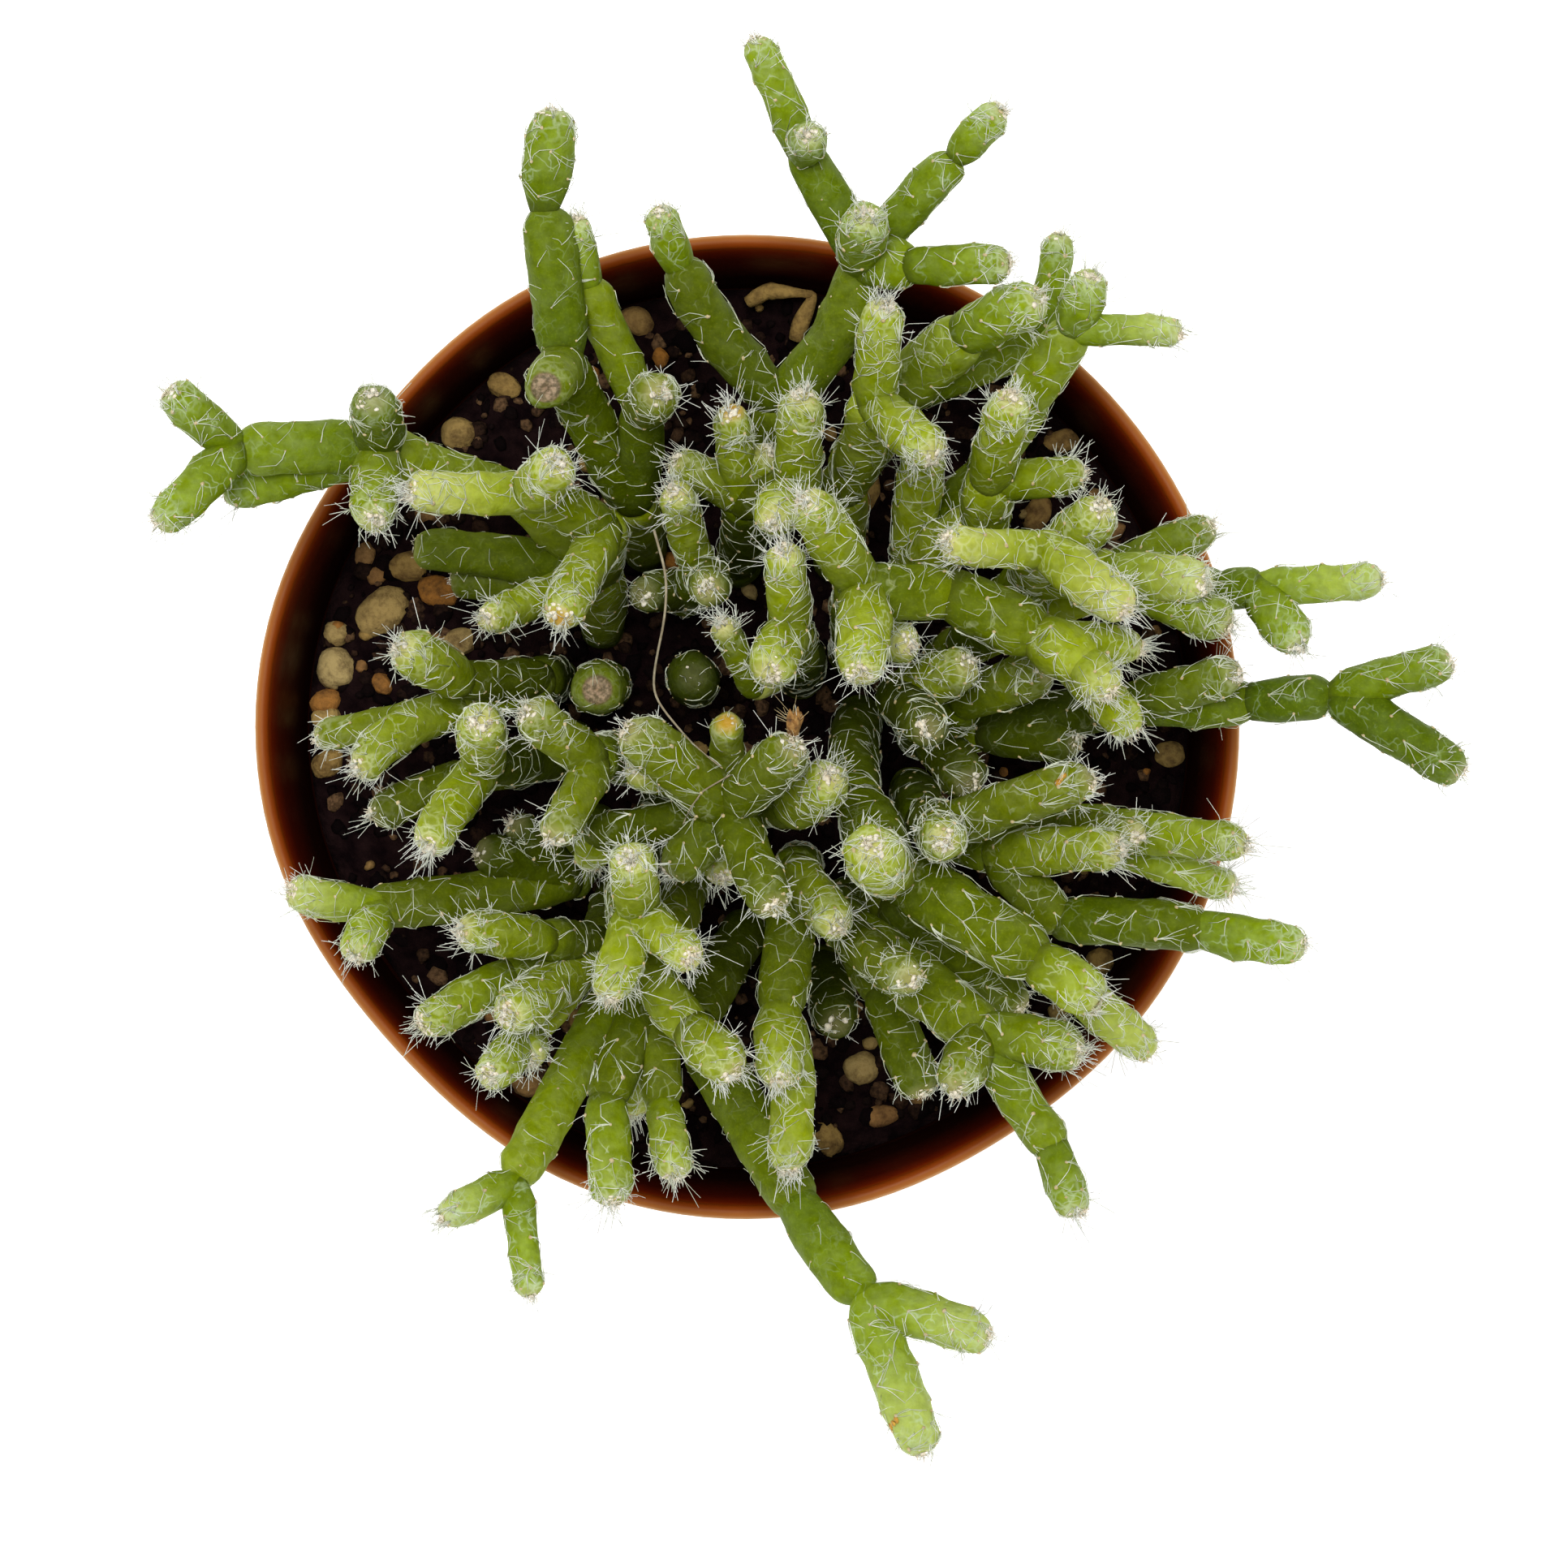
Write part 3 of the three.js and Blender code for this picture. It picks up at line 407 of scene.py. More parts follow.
# %% The plants
# A chain "a" starts in the soil, at a plan place [u, v]. A chain "b<a2" starts at the
# joint a2. Every other entry is a joint: [u, v, height, width of the stem below it, and
# how far that stem bows to its left].
PLANTS = {
    "north_west": {
        "a": [
            [-8.7, 15.4], [-9.8, 19.5, 82, 4.2], [-15.7, 31.3, 97, 4.4],
            [-17.5, 44.8, 101, 4.7], [-16.5, 53.3, 103, 4.4],
        ],
        "b<a2": [[-17.4, 29.2, 106, 4.7]],
        "c<a1": [[-9.1, 27.4, 93, 4.2], [-13.6, 38, 97, 3.7], [-14.8, 43.9, 100, 3]],
        "d<c1": [[-7.7, 28.9, 103, 4.3]],
    },
    "west_far": {
        "a": [
            [-12.3, 8.6], [-12.6, 13.5, 81, 4.2], [-12.2, 17, 94, 4.3],
            [-18.5, 20.1, 101, 4.2], [-29.2, 20.4, 105, 3.8],
        ],
        "b<a3": [[-16.4, 22.7, 110, 4.4]],
        "c<a2": [[-16.2, 9.2, 104, 4.2]],
        "d<a1": [[-22.6, 9.2, 93, 3.5]],
        "e<a1": [
            [-19.5, 20, 86, 4.2], [-31.6, 24.1, 95, 4.3], [-43.9, 24, 99, 4.8],
            [-49.9, 29.2, 102, 3.9],
        ],
        "f<e3": [[-50.8, 17.3, 102, 4]],
        "g<e2": [[-32.3, 28.3, 104, 4.6]],
        "h<e2": [[-32.3, 17.6, 103, 4.4]],
        "i<e2": [[-45.2, 20.2, 94, 4.6]],
        "j<a1": [[-28.8, 15.5, 84, 4.2]],
        "k<a1": [[-25.6, 12.5, 80, 3.6]],
    },
    "west": {
        "a": [[-16.5, 4.2], [-17.5, 4.2, 84, 4.2], [-24.6, 4, 91, 3.6], [-29.8, 6.9, 98, 4.2]],
        "b<a1": [[-24.5, 1.6, 86, 4], [-33.6, -3.8, 92, 3.9, -1.2]],
        "c<b1": [[-37.2, -0.9, 84, 2.9]],
    },
    "west_low": {
        "a": [[-15, -1.5], [-16.5, -2.5, 82, 4.2], [-22.7, -3.2, 96, 4], [-27.7, -10.4, 102, 3.9]],
        "b<a2": [[-22.8, 0.6, 107, 4.3]],
        "c<a1": [[-24.5, -4.2, 84, 3.8], [-32.4, -7.8, 86, 3.7]],
    },
    "west_near": {
        "a": [[-9.5, -2], [-11, -2.5, 90, 4.2], [-13.1, -3, 103, 4.2], [-19, 1.6, 108, 4.1]],
        "b<a2": [[-16.8, -9.7, 108, 3.9]],
    },
    "south_west": {
        "a": [[-13, -8.6], [-15.2, -13.2, 80, 4.3], [-31.8, -15.5, 87, 4.2], [-39.6, -14.2, 90, 3.5]],
        "b<a2": [[-34, -19.8, 91, 3.7]],
        "c<a1": [[-23.2, -10.6, 85, 4.3]],
        "d<a1": [[-20.2, -8, 85, 3.2]],
    },
    "south_west_low": {
        "a": [[-10, -12.5], [-12.8, -18.8, 83, 4.2], [-20.6, -24.9, 99, 4.6]],
        "b<a1": [[-20.5, -21.3, 88, 4], [-28.2, -25.8, 92, 4]],
        "c<a1": [[-19, -26.3, 90, 3.6], [-22.4, -30.3, 97, 3.9]],
        "d<c1": [[-18.4, -28.8, 93, 3.4]],
        "e<a1": [[-17.2, -18.3, 93, 3.9], [-24.7, -17.5, 98, 3.8]],
    },
    "south_far_west": {
        "a": [[-6, -16.5], [-11.8, -23.5, 79, 4.2], [-20, -39, 92, 4.2], [-26.4, -42.3, 95, 3.2]],
        "b<a2": [[-18.7, -49.1, 95, 2.9]],
    },
    "south_mid": {
        "a": [[-4.5, -11], [-8.6, -22.5, 90, 4.2], [-12.1, -32.1, 96, 4], [-11.7, -41.2, 99, 4.1]],
        "b<a1": [[-7.3, -32.3, 94, 3.9], [-6.1, -38.8, 98, 3.6]],
        "c<a1": [[-9.9, -33.4, 88, 3.2]],
    },
    "south_near": {
        "a": [[-7, -6.5], [-10.4, -14.3, 92, 4.2], [-9.5, -15.8, 105, 4.1], [-12.2, -23.4, 108, 4.1]],
        "b<a2": [[-9.9, -11.1, 115, 4.1]],
        "c<a2": [[-4.6, -20.1, 112, 3.8]],
        "d<a1": [[-9, -20.2, 97, 4.2], [-4.9, -25.9, 101, 4.4], [-0.8, -29.8, 104, 4.8]],
    },
    "south_far": {
        "a": [
            [-0.2, -17.5], [-4.8, -25.7, 81, 4.3], [4.3, -41, 90, 4.9], [10.2, -49.2, 94, 4.6],
            [21, -52.6, 97, 4.4],
        ],
        "b<a3": [[15.4, -62.7, 97, 4.6]],
    },
    "centre_south": {
        "a": [[-1, -4], [-1.2, -5.5, 90, 4.3], [-1.6, -7.2, 103, 4.5], [4.2, -1.6, 112, 4.4]],
        "b<a2": [[2.4, -15.8, 110, 4.3]],
        "c<a2": [[-10.3, -0.2, 110, 5]],
        "d<a2": [[-6.8, -12.7, 102, 4.4]],
        "e<a1": [[-2.4, -13.2, 97, 3.9]],
        "f<a2": [[-13.4, -9.1, 98, 3.5], [-13.2, -11.8, 95, 3.3]],
        "g<a1": [[-9.6, -3.6, 104, 3.9]],
        "h<a1": [[-1.7, 0.5, 100, 3.1]],
        "i<a1": [[4, -7, 98, 4.2], [7.5, -4.3, 107, 4.4]],
    },
    "south": {
        "a": [[4.4, -12], [4.2, -12.4, 92, 4.2], [7.8, -17.1, 102, 4.2]],
        "b<a1": [[2.9, -24.5, 96, 4.4], [2.9, -30.8, 100, 4.3]],
        "c<b1": [[3.5, -38.3, 96, 4.2, 0.7]],
    },
    "south_east": {
        "a": [
            [9.2, -15], [8.2, -15.2, 78, 4.3], [8.8, -17.5, 90, 4.7], [20.2, -26.3, 98, 5.2],
            [28.9, -28, 102, 4.5],
        ],
        "b<a3": [[26.3, -36.2, 100, 3.9], [28.5, -42, 103, 3.6]],
        "c<a3": [[17.7, -31.3, 103, 4.1]],
        "d<a2": [[14.2, -21.7, 106, 3.9]],
        "e<a1": [[11.8, -23, 83, 4], [15.2, -31.8, 86, 4.1]],
        "f<a1": [[12.5, -15.5, 87, 4.2], [23.8, -24.4, 92, 4.3]],
    },
    "south_low": {
        "a": [[6.6, -20.8], [7.7, -25.7, 80, 4.4]],
    },
    "east_south": {
        "a": [
            [9.6, 0.6], [9.6, -6.6, 92, 4.5], [12.3, -12, 100, 5.1], [24.8, -20, 105, 5.8],
            [30.4, -23.9, 106, 4.8],
        ],
        "b<a2": [[10.7, -10.6, 119, 5.6]],
        "c<a3": [[34.9, -28.1, 101, 4.1]],
    },
    "east_low": {
        "a": [[14.3, -5.4], [15.2, -8, 86, 4.3], [16.8, -8.8, 100, 4.3], [16.9, -9.6, 112, 4.4]],
        "b<a2": [[29.8, -4.4, 106, 4.4]],
        "c<a1": [[21.5, -11, 94, 4.2], [32.1, -10.5, 103, 4.3]],
        "d<c1": [[27, -16.7, 95, 4.3], [39.3, -17.4, 98, 4.3], [48.1, -19, 101, 3.9]],
        "e<a1": [[27, -8.2, 89, 3.9], [43.1, -10.1, 96, 3.9]],
        "f<e1": [[42.1, -13.9, 90, 3.3]],
        "g<e1": [[33.8, -9.2, 99, 3.1]],
    },
    "east": {
        "a": [
            [15, -0.7], [15.6, -0.5, 82, 4.3], [33, 2.2, 91, 4.3], [43.4, 2.2, 94, 4.2],
            [50.5, 2.8, 96, 4.2], [60.8, 5.7, 99, 4],
        ],
        "b<a4": [[61.7, -4.1, 99, 4.1]],
        "c<a2": [[42.3, 4.8, 99, 4]],
        "d<a1": [[20.6, -0.4, 85, 3.9], [28.6, -1.2, 89, 4.5]],
        "e<a1": [[12.8, 2.8, 95, 4.3], [19.3, 5.4, 101.5, 4.4]],
        "f<e1": [[15.8, -0.3, 108, 4.3]],
        "g<a1": [[19.2, -5, 91, 4.3]],
        "h<a1": [[18.5, 2.4, 92, 4.2], [26, 5.1, 97, 4.4]],
    },
    "east_north": {
        "a": [
            [16.5, 5], [18.5, 7, 80, 4.3], [30, 12.3, 89, 4.2], [40.9, 11.8, 94, 4],
            [43.9, 12, 95, 3.9], [54.8, 12.7, 98, 3.5],
        ],
        "b<a4": [[47.7, 6.9, 99, 4.1]],
        "c<a1": [[24.5, 13, 93, 4.3], [25.7, 15.3, 106, 4.2], [32.9, 10, 111, 4.5]],
        "d<c2": [[17, 15.8, 111, 3.8]],
        "e<c1": [[31.5, 13.3, 99, 4.2], [39.8, 12.5, 105, 4.3]],
        "f<e1": [[41.7, 8.8, 103, 4.3]],
        "g<c1": [[30.8, 18.9, 103, 4.6]],
        "h<a2": [[40.3, 17.3, 92, 3.7]],
    },
    "crown": {
        "a": [[9, 6.4], [9.3, 9, 92, 4.4], [10, 12, 106, 4.6], [5.1, 19.8, 114, 4.5]],
        "b<a2": [[9.8, 4.3, 113, 4.9]],
        "c<a2": [[17.6, 11.5, 105, 5], [25, 8, 105, 5.4], [29, 5.6, 107, 5], [31.4, 2.7, 108, 4.2]],
        "d<c2": [[33.5, -0.4, 102, 4]],
        "e<c2": [[34, 6.9, 103, 3.7]],
        "f<a1": [[13.9, 7.1, 105, 3.8]],
    },
    "north_east": {
        "a": [[7.8, 14.5], [8.3, 20.5, 82, 4.3], [10.9, 28, 98, 4.3], [11.7, 36.5, 105, 4.1]],
        "b<a2": [[16.2, 23.4, 105, 4.2]],
        "c<a1": [[12.6, 28.3, 87, 4.5], [18.8, 33.9, 94, 5], [25.3, 36.9, 100, 4.7]],
        "d<c1": [[25, 33.2, 84, 4.2], [27.1, 42.5, 88, 3]],
    },
    "east_far_north": {
        "a": [
            [14, 11], [14.2, 13.5, 79, 4.3], [20.6, 17.5, 92, 4.7], [20.9, 21.2, 98, 4.8],
            [22.8, 28.4, 107, 4.1],
        ],
        "b<a1": [[15.4, 23.9, 90, 4.2]],
        "c<a3": [[29, 22, 96, 3.7]],
        "d<a1": [[20.5, 22, 84, 4.3], [28, 34.2, 93, 4.3], [29.8, 39.1, 97, 3.9]],
        "e<d2": [[37.5, 34, 96, 3]],
    },
    "north": {
        "a": [
            [2.4, 17.7], [2.3, 20, 78, 4.2], [2.7, 28, 89, 4.6],
            [-5.7, 39.5, 94, 4.4, 0.6], [-7.6, 44.8, 97, 3.4],
        ],
        "b<a2": [[9.9, 40, 95, 4.4, -0.9], [4.8, 49.6, 99, 3.8], [0.6, 59.4, 102, 3.6]],
        "c<b2": [[5.4, 51, 105, 3.5]],
        "d<b1": [[18, 49.1, 99, 3.8], [21.9, 53.4, 102, 3.5]],
        "e<b1": [[14, 39.8, 99, 4.4], [22.7, 39.9, 101, 3.7]],
        "f<b1": [[10.3, 43.9, 105, 4.5]],
    },
    "north_near": {
        "a": [[-0.9, 14.2], [-0.2, 19.5, 92, 4.3], [4.3, 20.3, 97, 4.2], [4.8, 28.6, 105, 4.2]],
        "b<a1": [[-1.3, 27.5, 99, 3.5]],
        "c<a1": [[-6.5, 22.9, 95, 3.5]],
        "d<a1": [[1.9, 23.9, 96, 3.3]],
        "e<a2": [[2.2, 17.9, 106, 4.3]],
    },
    "centre_north": {
        "a": [[-5.4, 11.3], [-5, 11.6, 77, 4.1], [-3.7, 13, 88, 4], [-6.1, 20.4, 100, 3.4]],
        "b<a2": [[-3.3, 11.8, 101, 3.9]],
        "c<a1": [[-9.2, 11.4, 88, 3.7]],
    },
    "centre": {
        "a": [[4.6, 4.3], [4.6, 6, 92, 4.3], [3.8, 8.4, 103, 4], [3.3, 15.4, 111, 3.7]],
        "b<a2": [[1.8, 4.6, 110, 4.4]],
        "c<a1": [[0.6, 3.3, 97, 2.8], [-2.1, 8.9, 105, 2.5]],
    },
    "stump_west": {
        "a": [[-12, 3.6], [-12.3, 3.5, 78, 4.3], [-12.9, 3.2, 92, 4.7]],
    },
    "stump_centre": {
        "a": [[-4.4, 3.6], [-4.5, 3.9, 77, 4.3], [-4.6, 4.3, 90, 4.8]],
    },
}

# %% Read the chains
SOIL_TOP = 66
ROOT_CLEAR = 3
ROOT_SINK = 5
ROOT_SHARE = 0.97  # of the width of the first joint
ROOT_STUB = 0.4  # of its own width, from where it leaves the soil to the first joint


def shrink_at(z):
    return (EYE_ABOVE_MOUTH - (z - POT_HEIGHT)) / EYE_ABOVE_MOUTH


def seen(u, v, z):
    shrink = shrink_at(z)
    return np.array([EYE_X + (u - EYE_X) * shrink, EYE_Y + (v - EYE_Y) * shrink, z])


def read_plant(chains):
    """Every stem of a plant: its name, two ends, width, bow, and whether it is a tip."""
    joints, stems = {}, []
    for key, rows in chains.items():
        name, _, parent = key.partition("<")
        at = joints.get(parent)
        if at is None:
            at = seen(*rows[0], SOIL_TOP)
            foot = at - (0, 0, ROOT_SINK)
            at = at + (0, 0, ROOT_CLEAR)
            wide = ROOT_SHARE * rows[1][3] * shrink_at(at[2])
            knee = at + (0, 0, ROOT_STUB * wide)
            stems.append(dict(name=name + "0", low=foot, high=knee, width=wide, bow=0))
            rows = rows[1:]
        for i, (u, v, z, width, *bow) in enumerate(rows, 1):
            to = seen(u, v, z)
            wide = width * shrink_at((at[2] + z) / 2)
            stems.append(dict(name=f"{name}{i}", low=at, high=to, width=wide, bow=(bow or [0])[0]))
            joints[f"{name}{i}"] = at = to
    starts = [stem["low"] for stem in stems]
    for stem in stems:
        carries_on = any(np.allclose(stem["high"], low) for low in starts)
        stem["tip"] = not carries_on and not stem["name"].endswith("0")
    return stems


plants = {name: read_plant(chains) for name, chains in PLANTS.items()}
every_stem = [(name, stem) for name, stems in plants.items() for stem in stems]
print("stems:", len(every_stem), "growing tips:", sum(stem["tip"] for _, stem in every_stem))

# %% [markdown]
# ## Character of each stem
#
# Stems of one plant don't look alike. The crowded young ones on top are bright, hairy
# and woolly. The long outer arms are older: a greyer, darker green with few hairs. The
# low ones are painted darker, as painted shade. Most of this follows from where a stem
# is, so it is worked out from its place, and only the stems that stand out are named.

# %% Stems that don't look as their place tells
def stems_in(text):
    """Reads "plant stem stem, plant stem" as a set of (plant, stem)."""
    lists = [part.split() for part in text.split(",")]
    return {(plant, stem) for plant, *stems in lists for stem in stems}


def listed(table, plant, stem):
    return (plant, stem["name"]) in table


OLD = stems_in("""
    north_west a3 b1 c1, west_far e1 e2 e3 j1 k1, east a2 a3 a4 b1, east_north a2 a3,
    north a1 a2 a3 b1 b2, stump_west a1 a2, stump_centre a1 a2
""")
BARE = stems_in("""
    north_west a3 b1 c1 c2, west_far e1 e3 j1 k1, south_far a2 a3, south_far_west a2,
    north a2 b1 b2, stump_west a2, stump_centre a2, centre_south h1
""")
# Painted shade: stems painted darker where the stems round them shade them.
SHADED = stems_in("""
    centre_south a3 b1 c1 d1, south_west a2, south_east c1 d1 e1 e2 f2, south b1,
    south_mid a2 b1, south_west_low e1, east c1 e2 h2, east_low a2 b1 d1 d2 g1,
    east_north h1, west c1, west_far g1 k1, west_near a3 b1, north a3, north_west d1,
    north_near c1 d1, centre_north b1, south_far a1
""")
# Deep among the others, and painted darker still, as painted shade.
DIM = stems_in("""
    south_near a1, centre_south f1 i1, south_west c1 d1, south_west_low a1, stump_centre a2,
    south_low a1, south_east f1, north_near a2, east a2 d2 f1 g1, east_low e1, west_low a2 c2,
    west a1 a2, centre a1, centre_north c1
""")
# Tips that have kept the green of older stems.
GREENER = stems_in("""
    centre_south c1, east_low a3 b1 c2 e2 f1 g1, south_east a4 b2 c1 d1,
    south_west_low b2 e2, west_near a3 b1, north_near a3 b1 c1 d1, north_west a4 d1,
    west b2 c1, west_far e4 g1 h1 i1, east a5 c1 e2, centre c2, crown a3 e1,
    east_north f1 h1, north a4 c1 e2, north_east d2, east_far_north c1
""")
# Older stems that have kept the yellow of young ones.
LIVELY = stems_in("""
    north_east c2 d1, south_east b1, south_far a3, south_far_west a2, south_near d2,
    west_far a3 e1 e2 e3, north d1 e1, north_west c2, east_far_north a3 d2, centre a2
""")
# Mostly painted light: low or older stems that others shade, painted as pale as young ones.
LIFTED = stems_in("""
    crown c3, north_west a1, west_far a1 a2, south_mid a1, south_west_low c1,
    north_east a1 a2 c1, east_north a2 c2 e1, east_far_north a2, centre_south h1
""")
BRIGHT = stems_in("""
    crown c4, east_south c1, west_far a4, east_north a5 c3 d1 e2, south_far a4 b1,
    south_far_west a3, south_west a3, east_far_north e1, centre c1
""")
SCARRED = stems_in("north_west b1, stump_west a2")
ORANGE_TIP = stems_in("north_near b1, west_far c1, centre_south h1")
print("stems that are old:", len(OLD), "and bright:", len(BRIGHT))

# %% Age, hair and colour of each stem
LITTLE_YOUTH, HALF_YOUTH, FULL_YOUTH = 0.2, 0.55, 0.9
FEW_HAIRS = 0.12
LOW_STEM = (-92, -78)  # from where a stem counts as low, to where it is as deep as any

luck = np.random.default_rng(7)
for plant, stem in every_stem:
    middle = (stem["low"] + stem["high"]) / 2
    away = math.hypot(middle[0], middle[1])
    height = middle[2]
    deep = smoothstep(-height, *LOW_STEM)
    old = 0.15 * smoothstep(away, 30, 50) + 0.35 * deep
    hairy = 1 - 0.35 * smoothstep(away, 32, 46) - 0.5 * deep
    arm = smoothstep(away, 28, 44)
    young = 0.1 + 0.75 * stem["tip"] + 0.15 * smoothstep(height, 95, 112)
    if listed(OLD, plant, stem):
        old, hairy, young = max(old, 0.7), min(hairy, 0.7), LITTLE_YOUTH
    if listed(SHADED, plant, stem) or listed(DIM, plant, stem):
        young, hairy = LITTLE_YOUTH, 0.75 * hairy
    if listed(GREENER, plant, stem) or listed(LIVELY, plant, stem):
        young = HALF_YOUTH
    if listed(BARE, plant, stem):
        hairy = FEW_HAIRS
    if listed(BRIGHT, plant, stem) or listed(LIFTED, plant, stem):
        old, young = 0.0, FULL_YOUTH
    stem["arm"] = float(arm)
    stem["old"] = float(np.clip(old + luck.uniform(-0.12, 0.12), 0, 1))
    stem["hairy"] = float(np.clip(hairy + luck.uniform(-0.1, 0.1), 0.08, 1))
    stem["young"] = float(np.clip(young + luck.uniform(-0.15, 0.15), 0, 1))
    stem["bright"] = float(listed(BRIGHT, plant, stem)) * luck.uniform(0.5, 0.75)
    # Painted shade: a dim stem is painted darker than a shaded one.
    shade = 1.0 * listed(DIM, plant, stem) or 0.5 * listed(SHADED, plant, stem)
    stem["shaded"] = shade * luck.uniform(0.85, 1)
    stem["scar"] = 1.0 if listed(SCARRED, plant, stem) else 0.0
    stem["orange"] = 1.0 if listed(ORANGE_TIP, plant, stem) else 0.0
print("mean hairiness:", round(float(np.mean([s["hairy"] for _, s in every_stem])), 2))

# %% [markdown]
# ## The stem masters
#
# A joint of the plant is a sausage: it leaves its parent through a narrow neck, swells,
# runs straight, and ends in a blunt dome. The neck and dome keep their shape however
# long the joint is, so the master is drawn in zones. Heights -1 to 0 are the foot that
# hides in the parent, 0 to 1 the swelling, 1 to 2 the straight part, and 2 to 3 the dome.
# Three masters, with more or fewer rings in the straight part, serve short and long ones.

# %% Stations of a stem
STEM_SIDES = 24
BASE_STEPS = (0, 0.16, 0.36, 0.62)
FOOT_RINGS = [(-0.9, 0.5), (-0.4, 0.85)]
DOME_STEPS = (0.22, 0.42, 0.6, 0.75, 0.87, 0.955)


def swelling(share):
    """From 0 at the neck to 1 where the joint has its full width."""
    return 1 - (1 - np.clip(share, 0, 1)) ** 2


def dome(share, power):
    return (1 - np.clip(share, 0, 1) ** power) ** (1 / power)


def stem_master(rings):
    base = FOOT_RINGS + [(step, 1) for step in BASE_STEPS]
    straight = [(1 + i / (rings - 1), 1) for i in range(rings)]
    top = [(2 + step, float(dome(step, 2))) for step in DOME_STEPS]
    return read_master(extruded("stem_master", STEM_SIDES, base + straight + top, -1, 3))


FEW, SOME, MANY = 5, 9, 16  # rings in the straight part
SHORT_PART, LONG_PART = 4, 9.5  # the straight parts that get few rings and many
masters = {rings: stem_master(rings) for rings in (FEW, SOME, MANY)}
print("faces of the masters:", {rings: len(faces) for rings, (_, faces) in masters.items()})

# %% The line that a stem follows
SWELL_LENGTH = 0.7  # of its width, unless the stem is short
FOOT_LENGTH = 0.25
SLIMMER = 0.92  # makes room for the swelling under each areole
# Length of a dome and its reach past the joint, both in widths, and its bluntness.
TIP_DOME = (0.52, 0.0, 2.4)
JOINT_DOME = (0.55, 0.2, 2.2)
PINCHED_DOME = (0.5, 0.04, 2.1)
ROOT_DOME = (0.5, 0.0, 2.0)
NECKS = (0.8, 0.92)  # of the full width
FIRST_NECK = 0.97
PINCHED_NECK = 0.66
TOP_TAPER = 0.1  # how much narrower the end of a growing tip is
ARM_TAPER = 0.14
# Joints that are drawn in much more than the others, by the stem above the joint.
PINCHED = stems_in("""
    north_west a4 a3, south_far a4 b1, east a5 b1, west_far e4, north d2, south_far_west a3 b1
""")


def listed_below(plant, stem):
    """True if the stem ends at a joint that is drawn in."""
    above = [each for each in plants[plant] if np.allclose(each["low"], stem["high"])]
    return any(listed(PINCHED, plant, each) for each in above)


def measure(plant, stem):
    """Adds the directions and lengths that the points on a stem are worked out from."""
    run = stem["high"] - stem["low"]
    stem["length"] = length = float(np.linalg.norm(run))
    stem["radius"] = 0.5 * SLIMMER * stem["width"]
    stem["along"] = run / length
    flat = np.array([-run[1], run[0], 0.0])
    stem["left"] = unit(flat) if np.linalg.norm(flat) > 0.02 * length else np.array([1.0, 0, 0])
    stem["left"] = unit(stem["left"] - stem["along"] * np.dot(stem["left"], stem["along"]))
    stem["over"] = np.cross(stem["along"], stem["left"])
    stem["swell"] = min(SWELL_LENGTH * stem["width"], 0.35 * length)
    kind = TIP_DOME if stem["tip"] else JOINT_DOME
    if stem["name"].endswith("0"):
        kind = ROOT_DOME
    elif listed_below(plant, stem):
        kind = PINCHED_DOME
    dome_length, past_joint, stem["power"] = kind
    stem["end"] = length + past_joint * stem["width"]
    stem["dome"] = min(dome_length * stem["width"], 0.45 * length)
    stem["neck"] = luck.uniform(*NECKS)
    if stem["name"] == "a1":
        stem["neck"] = FIRST_NECK
    elif listed(PINCHED, plant, stem):
        stem["neck"] = PINCHED_NECK
    far_out = smoothstep(float(np.hypot(*stem["high"][:2])), 34, 46)
    taper = TOP_TAPER + (ARM_TAPER - TOP_TAPER) * far_out
    stem["taper"] = taper * luck.uniform(0.6, 1.3) if stem["tip"] and not stem["scar"] else 0.0
    stem["belly"] = luck.uniform(0.0, 0.07)
    stem["wander"] = luck.uniform(-0.02, 0.02, 2) * length
    stem["phases"] = luck.uniform(0, 2 * math.pi, 5)


def centre_of(stem, distance):
    """The middle of a stem at distances along it."""
    share = np.asarray(distance / stem["length"])[..., None]
    arch = 4 * share * (1 - share) * ((share > 0) & (share < 1))
    sway = (stem["bow"] + stem["wander"][0]) * stem["left"] + stem["wander"][1] * stem["over"]
    return stem["low"] + share * stem["length"] * stem["along"] + arch * sway


def around(stem, angle):
    """The direction out of a stem at angles round it."""
    angle = np.asarray(angle)[..., None]
    return np.cos(angle) * stem["left"] + np.sin(angle) * stem["over"]


def skin_radius(stem, distance):
    """The plain radius at distances along a stem, before its small bumps."""
    low = stem["neck"] + (1 - stem["neck"]) * swelling(distance / stem["swell"])
    high = dome((distance - stem["end"] + stem["dome"]) / stem["dome"], stem["power"])
    share = np.clip(distance / stem["length"], 0, 1)
    narrowed = 1 + stem["belly"] * np.sin(math.pi * share) - stem["taper"] * share**2
    return stem["radius"] * low * high * narrowed


for plant, stem in every_stem:
    measure(plant, stem)
print("longest stem:", round(max(stem["length"] for _, stem in every_stem), 1), "mm")

# %% [markdown]
# ## Areoles
#
# The woolly dots sit on a spiral, as leaves do on a twig: each one is turned about
# 137.5 degrees from the last, which spreads them evenly. They crowd together near a
# growing tip. The skin swells a little under each dot, so they are placed first.

# %% Place the areoles
GOLDEN_TURN = math.radians(137.508)
SKIN_PER_AREOLE = 7.5  # square millimetres
FIRST_AREOLE = 0.8
ANY_TURN = 6.28  # radians, within which a spiral may start
CROWDED_FROM = 1.1  # widths before the end of a growing tip
CROWDED_STEP = 0.6


